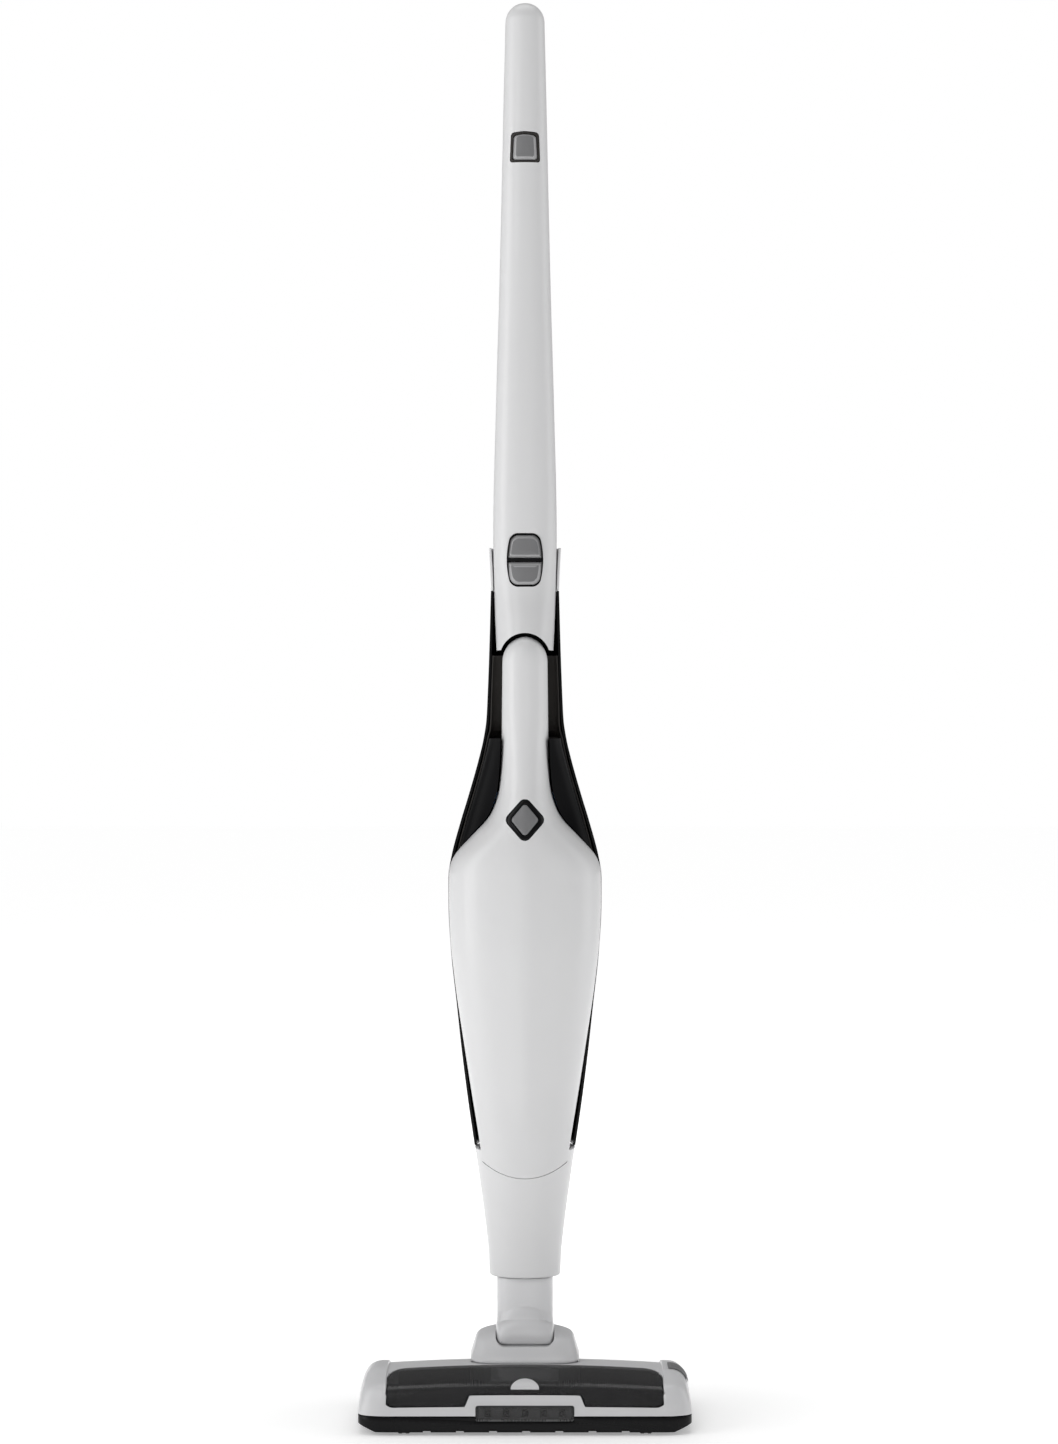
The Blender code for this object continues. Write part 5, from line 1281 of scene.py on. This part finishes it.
# one helix of tufts after another: each point holds a bundle of strands that leans a little its own way
def makeBristles():
    plan = Layout("bristle rows", {"Rows": int, "Per Row": int, "Low": float, "High": float, "Sweep": float,
                                   "Inner": float, "Outer": float, "Strand": float, "Lean": float, "Spread": float,
                                   "Seed": int, "Material": "material"})
    perRow = plan.input("Per Row")
    count = plan.math("MULTIPLY", plan.input("Rows"), perRow)
    points = plan.add("GeometryNodePoints", None, {"Count": count})
    index = plan.add("GeometryNodeInputIndex").outputs[0]
    row = plan.math("FLOOR", plan.math("DIVIDE", index, perRow))
    along = plan.math("DIVIDE", plan.math("SUBTRACT", index, plan.math("MULTIPLY", row, perRow)),
                      plan.math("SUBTRACT", perRow, 1.0))
    x = plan.math("ADD", plan.input("Low"), plan.math("MULTIPLY", along, plan.math(
        "SUBTRACT", plan.input("High"), plan.input("Low"))))
    fold = plan.math("ABSOLUTE", plan.math("SUBTRACT", plan.math("MULTIPLY", along, 2.0), 1.0))
    turn = plan.math("ADD", plan.math("MULTIPLY", plan.math("DIVIDE", row, plan.input("Rows")), math.tau),
                     plan.math("MULTIPLY", fold, plan.math("RADIANS", plan.input("Sweep"))))
    y = plan.math("ADD", brushAt[1], plan.math("MULTIPLY", plan.input("Inner"), plan.math("COSINE", turn)))
    z = plan.math("ADD", brushAt[2], plan.math("MULTIPLY", plan.input("Inner"), plan.math("SINE", turn)))
    placed = plan.add("GeometryNodeSetPosition", None, {"Geometry": points.outputs[0],
                                                        "Position": plan.vector(x, y, z)})
    length = plan.math("SUBTRACT", plan.input("Outer"), plan.input("Inner"))
    strand = plan.add("GeometryNodeMeshCone", None, {"Vertices": 5, "Radius Top": plan.math("MULTIPLY", plan.input(
        "Strand"), 0.55), "Radius Bottom": plan.input("Strand"), "Depth": length})
    turned = plan.add("GeometryNodeTransform", None, {"Geometry": strand.outputs["Mesh"],
                                                      "Rotation": (-math.pi / 2, 0.0, 0.0)})
    spots = plan.add("GeometryNodePoints", None, {"Count": 5})
    scatter = plan.add("FunctionNodeRandomValue", {"data_type": "FLOAT_VECTOR"}, {
        0: plan.vector(plan.math("MULTIPLY", plan.input("Spread"), -1.0), 0.0, plan.math(
            "MULTIPLY", plan.input("Spread"), -0.8)),
        1: plan.vector(plan.input("Spread"), 0.0, plan.math("MULTIPLY", plan.input("Spread"), 0.8)),
        "Seed": plan.input("Seed")})
    spread = plan.add("GeometryNodeSetPosition", None, {"Geometry": spots.outputs[0], "Position": scatter.outputs[0]})
    tuft = plan.add("GeometryNodeInstanceOnPoints", None, {"Points": spread.outputs[0],
                                                           "Instance": turned.outputs[0]})
    tuftOut = plan.add("GeometryNodeRealizeInstances", None, {"Geometry": tuft.outputs[0]})
    less = plan.math("MULTIPLY", plan.input("Lean"), -1.0)
    lean = plan.add("FunctionNodeRandomValue", {"data_type": "FLOAT_VECTOR"}, {
        0: plan.vector(less, 0.0, less), 1: plan.vector(plan.input("Lean"), 0.0, plan.input("Lean")),
        "Seed": plan.input("Seed")})
    facing = plan.add("ShaderNodeVectorMath", {"operation": "ADD"}, {0: plan.vector(turn), 1: lean.outputs[0]})
    tufts = plan.add("GeometryNodeInstanceOnPoints", None, {
        "Points": placed.outputs[0], "Instance": tuftOut.outputs[0], "Rotation": facing.outputs[0]})
    sleeve = plan.add("GeometryNodeMeshCylinder", None, {"Vertices": 64, "Radius": 0.0115, "Depth": 0.196})
    laid = plan.add("GeometryNodeTransform", None, {
        "Geometry": sleeve.outputs["Mesh"], "Rotation": (0.0, math.pi / 2, 0.0),
        "Translation": (-0.0020, brushAt[1], brushAt[2])})
    whole = plan.add("GeometryNodeJoinGeometry")
    plan.tree.links.new(tufts.outputs[0], whole.inputs[0])
    plan.tree.links.new(laid.outputs[0], whole.inputs[0])
    values = {"Rows": brush["rows"], "Per Row": brush["perRow"], "Low": brush["x"][0], "High": brush["x"][1],
              "Sweep": brush["sweep"], "Inner": brush["inner"], "Outer": brush["outer"], "Strand": brush["strand"],
              "Lean": brush["lean"], "Spread": brush["spread"], "Seed": brush["seed"]}
    piece = grow("bristles", plan.finish(whole.outputs[0]), values, finishes["bristle"])
    piece.data.shade_smooth()
    piece.data.set_sharp_from_angle(angle=math.radians(40))
    fitOut(piece, "brush_roll", "bristle", "bristle_sleeve")


makeBristles()

screw = {"radius": 0.0029, "height": 0.0030, "cross": 0.0007, "reach": 0.0019, "deep": 0.0012}


# cross-head screws facing backwards, one at each height
def makeScrews(name, places, body, *nodes):
    plan = Layout(name + " layout", {"Radius": float, "Height": float, "Cross": float, "Reach": float, "Deep": float,
                                     "Material": "material"})
    profile = [(0.0, 0.0), (1.0, 0.0), (1.0, 0.62), (0.93, 0.80), (0.76, 0.93), (0.45, 1.0), (0.0, 1.0)]
    whole = plan.add("GeometryNodeJoinGeometry")
    for (ra, ha), (rb, hb) in zip(profile[1:], profile[2:]):
        part = plan.add("GeometryNodeMeshCone", None, {
            "Vertices": 40, "Radius Bottom": plan.math("MULTIPLY", plan.input("Radius"), ra),
            "Radius Top": plan.math("MULTIPLY", plan.input("Radius"), rb),
            "Depth": plan.math("MULTIPLY", plan.input("Height"), hb - ha)})
        moved = plan.add("GeometryNodeTransform", None, {"Geometry": part.outputs["Mesh"], "Translation": plan.vector(
            0.0, 0.0, plan.math("MULTIPLY", plan.input("Height"), ha))})
        if hb > ha:
            plan.tree.links.new(moved.outputs[0], whole.inputs[0])
    union = plan.add("GeometryNodeMeshBoolean", {"operation": "UNION"})
    plan.tree.links.new(whole.outputs[0], union.inputs["Mesh 2"])
    recess = plan.add("GeometryNodeJoinGeometry")
    for along, across in (("Reach", "Cross"), ("Cross", "Reach")):
        blade = plan.add("GeometryNodeMeshCube", None, {"Size": plan.vector(
            plan.math("MULTIPLY", plan.input(along), 2.0), plan.math("MULTIPLY", plan.input(across), 2.0),
            plan.math("MULTIPLY", plan.input("Deep"), 2.0))})
        up = plan.add("GeometryNodeTransform", None, {"Geometry": blade.outputs["Mesh"], "Translation": plan.vector(
            0.0, 0.0, plan.input("Height"))})
        plan.tree.links.new(up.outputs[0], recess.inputs[0])
    driven = plan.add("GeometryNodeMeshBoolean", {"operation": "DIFFERENCE"}, {"Mesh 1": union.outputs[0]})
    plan.tree.links.new(recess.outputs[0], driven.inputs["Mesh 2"])
    heads = plan.add("GeometryNodeJoinGeometry")
    for x, y, z, turn in places:
        turned = plan.add("GeometryNodeTransform", None, {
            "Geometry": driven.outputs[0], "Rotation": (-math.pi / 2, turn, 0.0), "Translation": (x, y, z)})
        plan.tree.links.new(turned.outputs[0], heads.inputs[0])
    values = {"Radius": screw["radius"], "Height": screw["height"], "Cross": screw["cross"],
              "Reach": screw["reach"], "Deep": screw["deep"]}
    piece = grow(name, plan.finish(heads.outputs[0]), values, finishes["steel"])
    fitOut(bake(piece), body, "steel", *nodes)


def screwPlace(table, column, z, turn):
    return (0.0, stickY + curveAt(table, z)[column] - 0.0040, z, turn)


makeScrews("spine-screws", [screwPlace(stick["spine"], 1, z, 0.4 + z) for z in stick["screwHeights"]], "stick",
           "spine_screw_1", "spine_screw_2")
makeScrews("handle-screw", [screwPlace(handle["rows"], 2, handle["screwZ"], 0.2)], "upper_handle", "handle_screw_1")

wheel = {"half": 0.0058, "lugs": 30, "lugHeight": 0.0006, "hub": 0.0062}


def makeWheel(side, name, node):
    x, y, radius = side * wheelAt[0], wheelAt[1], wheelAt[2]
    half, tread = wheel["half"], radius - wheel["lugHeight"]
    profile = [(0.0023, -half + 0.0010), (wheel["hub"], -half + 0.0010), (wheel["hub"] + 0.0003, -half + 0.0003),
               (0.0108, -half + 0.0003), (0.0112, -half), (tread - 0.0012, -half), (tread - 0.0003, -half + 0.0005),
               (tread, -half + 0.0014), (tread, -0.0007), (tread - 0.0007, -0.0004)]
    profile += [(r, -a) for r, a in reversed(profile)]
    tyre = lathe(name, [(r, x + a) for r, a in profile], "X", (y, radius), 96, ring=True)
    plan = Layout(name + " lugs", {"Count": int, "Radius": float, "Half": float, "Height": float,
                                   "Material": "material"})
    circle = plan.add("GeometryNodeMeshCircle", None, {"Vertices": plan.input("Count"), "Radius": plan.math(
        "SUBTRACT", plan.input("Radius"), plan.math("MULTIPLY", plan.input("Height"), 0.8))})
    index = plan.add("GeometryNodeInputIndex").outputs[0]
    turn = plan.math("MULTIPLY", plan.math("DIVIDE", index, plan.input("Count")), math.tau)
    lug = plan.add("GeometryNodeMeshCube", None, {"Size": plan.vector(
        plan.math("MULTIPLY", plan.input("Height"), 1.5), plan.math("MULTIPLY", plan.input("Height"), 2.2),
        plan.math("MULTIPLY", plan.input("Half"), 1.7))})
    ring = plan.add("GeometryNodeInstanceOnPoints", None, {
        "Points": circle.outputs[0], "Instance": lug.outputs["Mesh"], "Rotation": plan.vector(0.0, 0.0, turn)})
    laid = plan.add("GeometryNodeTransform", None, {"Geometry": ring.outputs[0], "Rotation": (0.0, math.pi / 2, 0.0),
                                                    "Translation": (x, y, radius)})
    values = {"Count": wheel["lugs"], "Radius": radius - 0.0001, "Half": half, "Height": wheel["lugHeight"]}
    lugs = grow(name + "-lugs", plan.finish(laid.outputs[0]), values, finishes["rubber"])
    body = "rear_wheel_l" if side < 0 else "rear_wheel_r"
    fitOut(bake(tyre), body, "rubber", node)
    fitOut(lugs, body, "rubber")


def makeRoller(side, name, node):
    x, y, radius = side * rollerAt[0], rollerAt[1], rollerAt[2]
    profile = [(0.0, -0.0062), (0.0010, -0.0062), (0.0012, -0.0060), (0.0012, -0.0045), (radius - 0.0008, -0.0045),
               (radius - 0.0002, -0.0042), (radius - 0.0001, -0.0036), (radius - 0.0001, -0.0016),
               (radius - 0.0005, -0.0012), (radius - 0.0005, 0.0)]
    profile += [(r, -a) for r, a in reversed(profile[:-1])]
    roller = lathe(name, [(r, x + a) for r, a in profile], "X", (y, radius), 64)
    fitOut(bake(roller), "front_roller_l" if side < 0 else "front_roller_r", "dark_matte", node)


for side, label in ((-1, "left"), (1, "right")):
    makeWheel(side, f"wheel-{label}", f"rear_wheel_{label}")
    makeRoller(side, f"roller-{label}", f"front_roller_{label}")

slider = {"xs": (0.1125, 0.1278), "along": (0.520, 0.620), "ribs": 7, "ribHeight": 0.00035}


# the ridged slider on the right shoulder, its ribs running across the way it slides
def makeSlider():
    low, high = slider["xs"]
    rows = []
    xs = [low + (high - low) * k / 40 for k in range(41)]
    for x in xs:
        rim = min(1.0, min(x - low, high - x) / 0.0008)
        start, end = slider["along"]
        top = []
        for k in range(64):
            t = k / 63
            edge = min(1.0, min(t, 1 - t) / 0.06, rim)
            inside = min(x - low - 0.0018, high - x - 0.0018) / 0.0006
            field = min(1.0, max(0.0, min(t - 0.10, 0.90 - t) / 0.05), max(0.0, inside))
            rib = 0.5 - 0.5 * math.cos(math.tau * slider["ribs"] * (t - 0.1) / 0.8)
            out = 0.0007 + 0.0006 * math.sqrt(max(0.0, edge)) - slider["ribHeight"] * field * rib
            top.append(headPoint(x, start + (end - start) * t, out))
        bottom = [headPoint(x, start + (end - start) * t, 0.0006) for t in (1.0, 0.66, 0.33, 0.0)]
        rows.append(top + bottom)
    piece = skin("brush-release", rows, ring=True, caps=True)
    fitOut(bake(piece, 40), "brush_release", "button_grey", "brush_release_slider")


makeSlider()

lamps = {"count": 5, "pitch": 0.0145, "cup": 0.0052, "chip": 0.0018}


# lamp cups behind the lens, each with its small chip, on their board
def makeLamps():
    y, z = head["front"] + 0.0040, head["lensZ"]
    plan = Layout("lamp row", {"Count": int, "Pitch": float, "Cup": float, "Chip": float, "Material": "material"})
    first = plan.math("MULTIPLY", plan.math("MULTIPLY", plan.math("SUBTRACT", plan.input("Count"), 1.0), -0.5),
                      plan.input("Pitch"))
    line = plan.add("GeometryNodeMeshLine", None, {"Count": plan.input("Count"), "Start Location": plan.vector(
        first, y - 0.0012, z), "Offset": plan.vector(plan.input("Pitch"))})
    outer = plan.add("GeometryNodeMeshCube", None, {
        "Size": plan.vector(plan.input("Cup"), 0.0028, plan.input("Cup"))})
    inner = plan.add("GeometryNodeMeshCube", None, {"Size": plan.vector(
        plan.math("MULTIPLY", plan.input("Cup"), 0.74), 0.0022, plan.math("MULTIPLY", plan.input("Cup"), 0.74))})
    forward = plan.add("GeometryNodeTransform", None, {"Geometry": inner.outputs["Mesh"],
                                                       "Translation": (0.0, -0.0010, 0.0)})
    cup = plan.add("GeometryNodeMeshBoolean", {"operation": "DIFFERENCE"}, {"Mesh 1": outer.outputs["Mesh"]})
    plan.tree.links.new(forward.outputs[0], cup.inputs["Mesh 2"])
    chip = plan.add("GeometryNodeMeshCone", None, {"Vertices": 20, "Radius Top": plan.math(
        "MULTIPLY", plan.input("Chip"), 0.4), "Radius Bottom": plan.math("MULTIPLY", plan.input("Chip"), 0.5),
        "Depth": 0.0012})
    facing = plan.add("GeometryNodeTransform", None, {"Geometry": chip.outputs["Mesh"],
                                                      "Rotation": (math.pi / 2, 0.0, 0.0),
                                                      "Translation": (0.0, -0.0002, 0.0)})
    lamp = plan.add("GeometryNodeJoinGeometry")
    plan.tree.links.new(cup.outputs[0], lamp.inputs[0])
    plan.tree.links.new(facing.outputs[0], lamp.inputs[0])
    copies = plan.add("GeometryNodeInstanceOnPoints", None, {"Points": line.outputs[0], "Instance": lamp.outputs[0]})
    values = {"Count": lamps["count"], "Pitch": lamps["pitch"], "Cup": lamps["cup"], "Chip": lamps["chip"]}
    piece = grow("lamp-row", plan.finish(copies.outputs[0]), values, finishes["dark_matte"])
    fitOut(bake(piece), "floor_head", "dark_matte")
    plate = block("lamp-plate", (-0.0360, y + 0.0003, z - 0.0050), (0.0360, y + 0.0012, z + 0.0050))
    modify(plate, "BEVEL", width=0.0003, segments=2)
    fitOut(bake(plate), "floor_head", "light_grey", "headlight_board")


makeLamps()
print("small parts built")


# floor, light, and the finishes of the carried-over nodes
studio = {
    # the floor's glow drops towards the object, inside near and far: a painted contact shadow
    "floor": (0.90, 0.90, 0.90), "glow": 0.74, "paintedShadowGlow": 0.40, "near": 0.12, "far": 0.70, "surround": 0.28,
    "background": 1.0,
    "lamps": [  # place, size, power, aimed at, seen in reflections
        ((-1.9, -0.80, 0.9), (1.2, 2.2), 18.0, (0.0, 0.0, 0.55), True),
        ((1.9, 0.05, 0.9), (1.2, 2.2), 8.5, (0.0, 0.0, 0.55), True),
        ((-0.9, -2.0, 2.0), (0.9, 1.2), 7.5, (0.0, 0.0, 0.5), True),
        ((0.0, 0.2, 3.0), (1.6, 1.6), 16.0, (0.0, 0.0, 0.2), True),
        ((0.0, 2.4, 1.6), (2.2, 1.6), 12.0, (0.0, 0.0, 0.5), False)],
}


def makeStudio():
    floor = prism("floor", [(-14, -14), (14, -14), (14, 14), (-14, 14)], -0.02, -0.0002, "Z")
    look = Look("studio floor")
    speck = look.noise(3.0, 2.0)
    base = look.blendColour(speck, (*[c * 0.99 for c in studio["floor"]], 1), (*studio["floor"], 1))
    # the glow fades towards the object's foot: a painted contact shadow on the floor
    flat = look.add("ShaderNodeVectorMath", {"operation": "MULTIPLY"}, {0: look.where(), 1: (1.0, 1.6, 1.0)})
    away = look.add("ShaderNodeVectorMath", {"operation": "LENGTH"}, {0: flat}, out="Value")
    far = look.fit(away, studio["near"], studio["far"], 0.0, 1.0)
    glow = look.blendColour(far, (*[studio["paintedShadowGlow"]] * 3, 1), (1, 1, 1, 1))
    floor.data.materials.append(look.finish(Base_Color=base, Roughness=0.75 + speck * 0.05, Specular_IOR_Level=0.1,
                                            Emission_Color=glow, Emission_Strength=studio["glow"]))
    for place, size, power, aim, mirrored in studio["lamps"]:
        lamp = bpy.data.lights.new("softbox", "AREA")
        lamp.shape = "RECTANGLE"
        lamp.size, lamp.size_y = size
        lamp.energy = power
        holder = bpy.data.objects.new("softbox", lamp)
        holder.location = place
        holder.visible_glossy = mirrored
        holder.rotation_euler = (Vector(aim) - Vector(place)).to_track_quat("-Z", "Y").to_euler()
        bpy.context.scene.collection.objects.link(holder)
    world = bpy.data.worlds.new("studio")
    world.use_nodes = True
    tree = world.node_tree
    tree.nodes.clear()
    path = tree.nodes.new("ShaderNodeLightPath")
    seen, surround, mix = (tree.nodes.new(kind) for kind in
                           ("ShaderNodeBackground", "ShaderNodeBackground", "ShaderNodeMixShader"))
    seen.inputs["Color"].default_value = surround.inputs["Color"].default_value = (1, 1, 1, 1)
    seen.inputs["Strength"].default_value = studio["background"]
    surround.inputs["Strength"].default_value = studio["surround"]
    tree.links.new(path.outputs["Is Camera Ray"], mix.inputs[0])
    tree.links.new(surround.outputs[0], mix.inputs[1])
    tree.links.new(seen.outputs[0], mix.inputs[2])
    out = tree.nodes.new("ShaderNodeOutputWorld")
    tree.links.new(mix.outputs[0], out.inputs["Surface"])
    bpy.context.scene.world = world
    bpy.context.scene.view_settings.view_transform = "Standard"


def paintNodes():
    for row in frame["record"]["subparts"]:
        node = frame["nodes"][row["node"]]
        node.data.materials.clear()
        node.data.materials.append(finishes[row["material_slot"]])


makeStudio()
paintNodes()
print("studio lit")
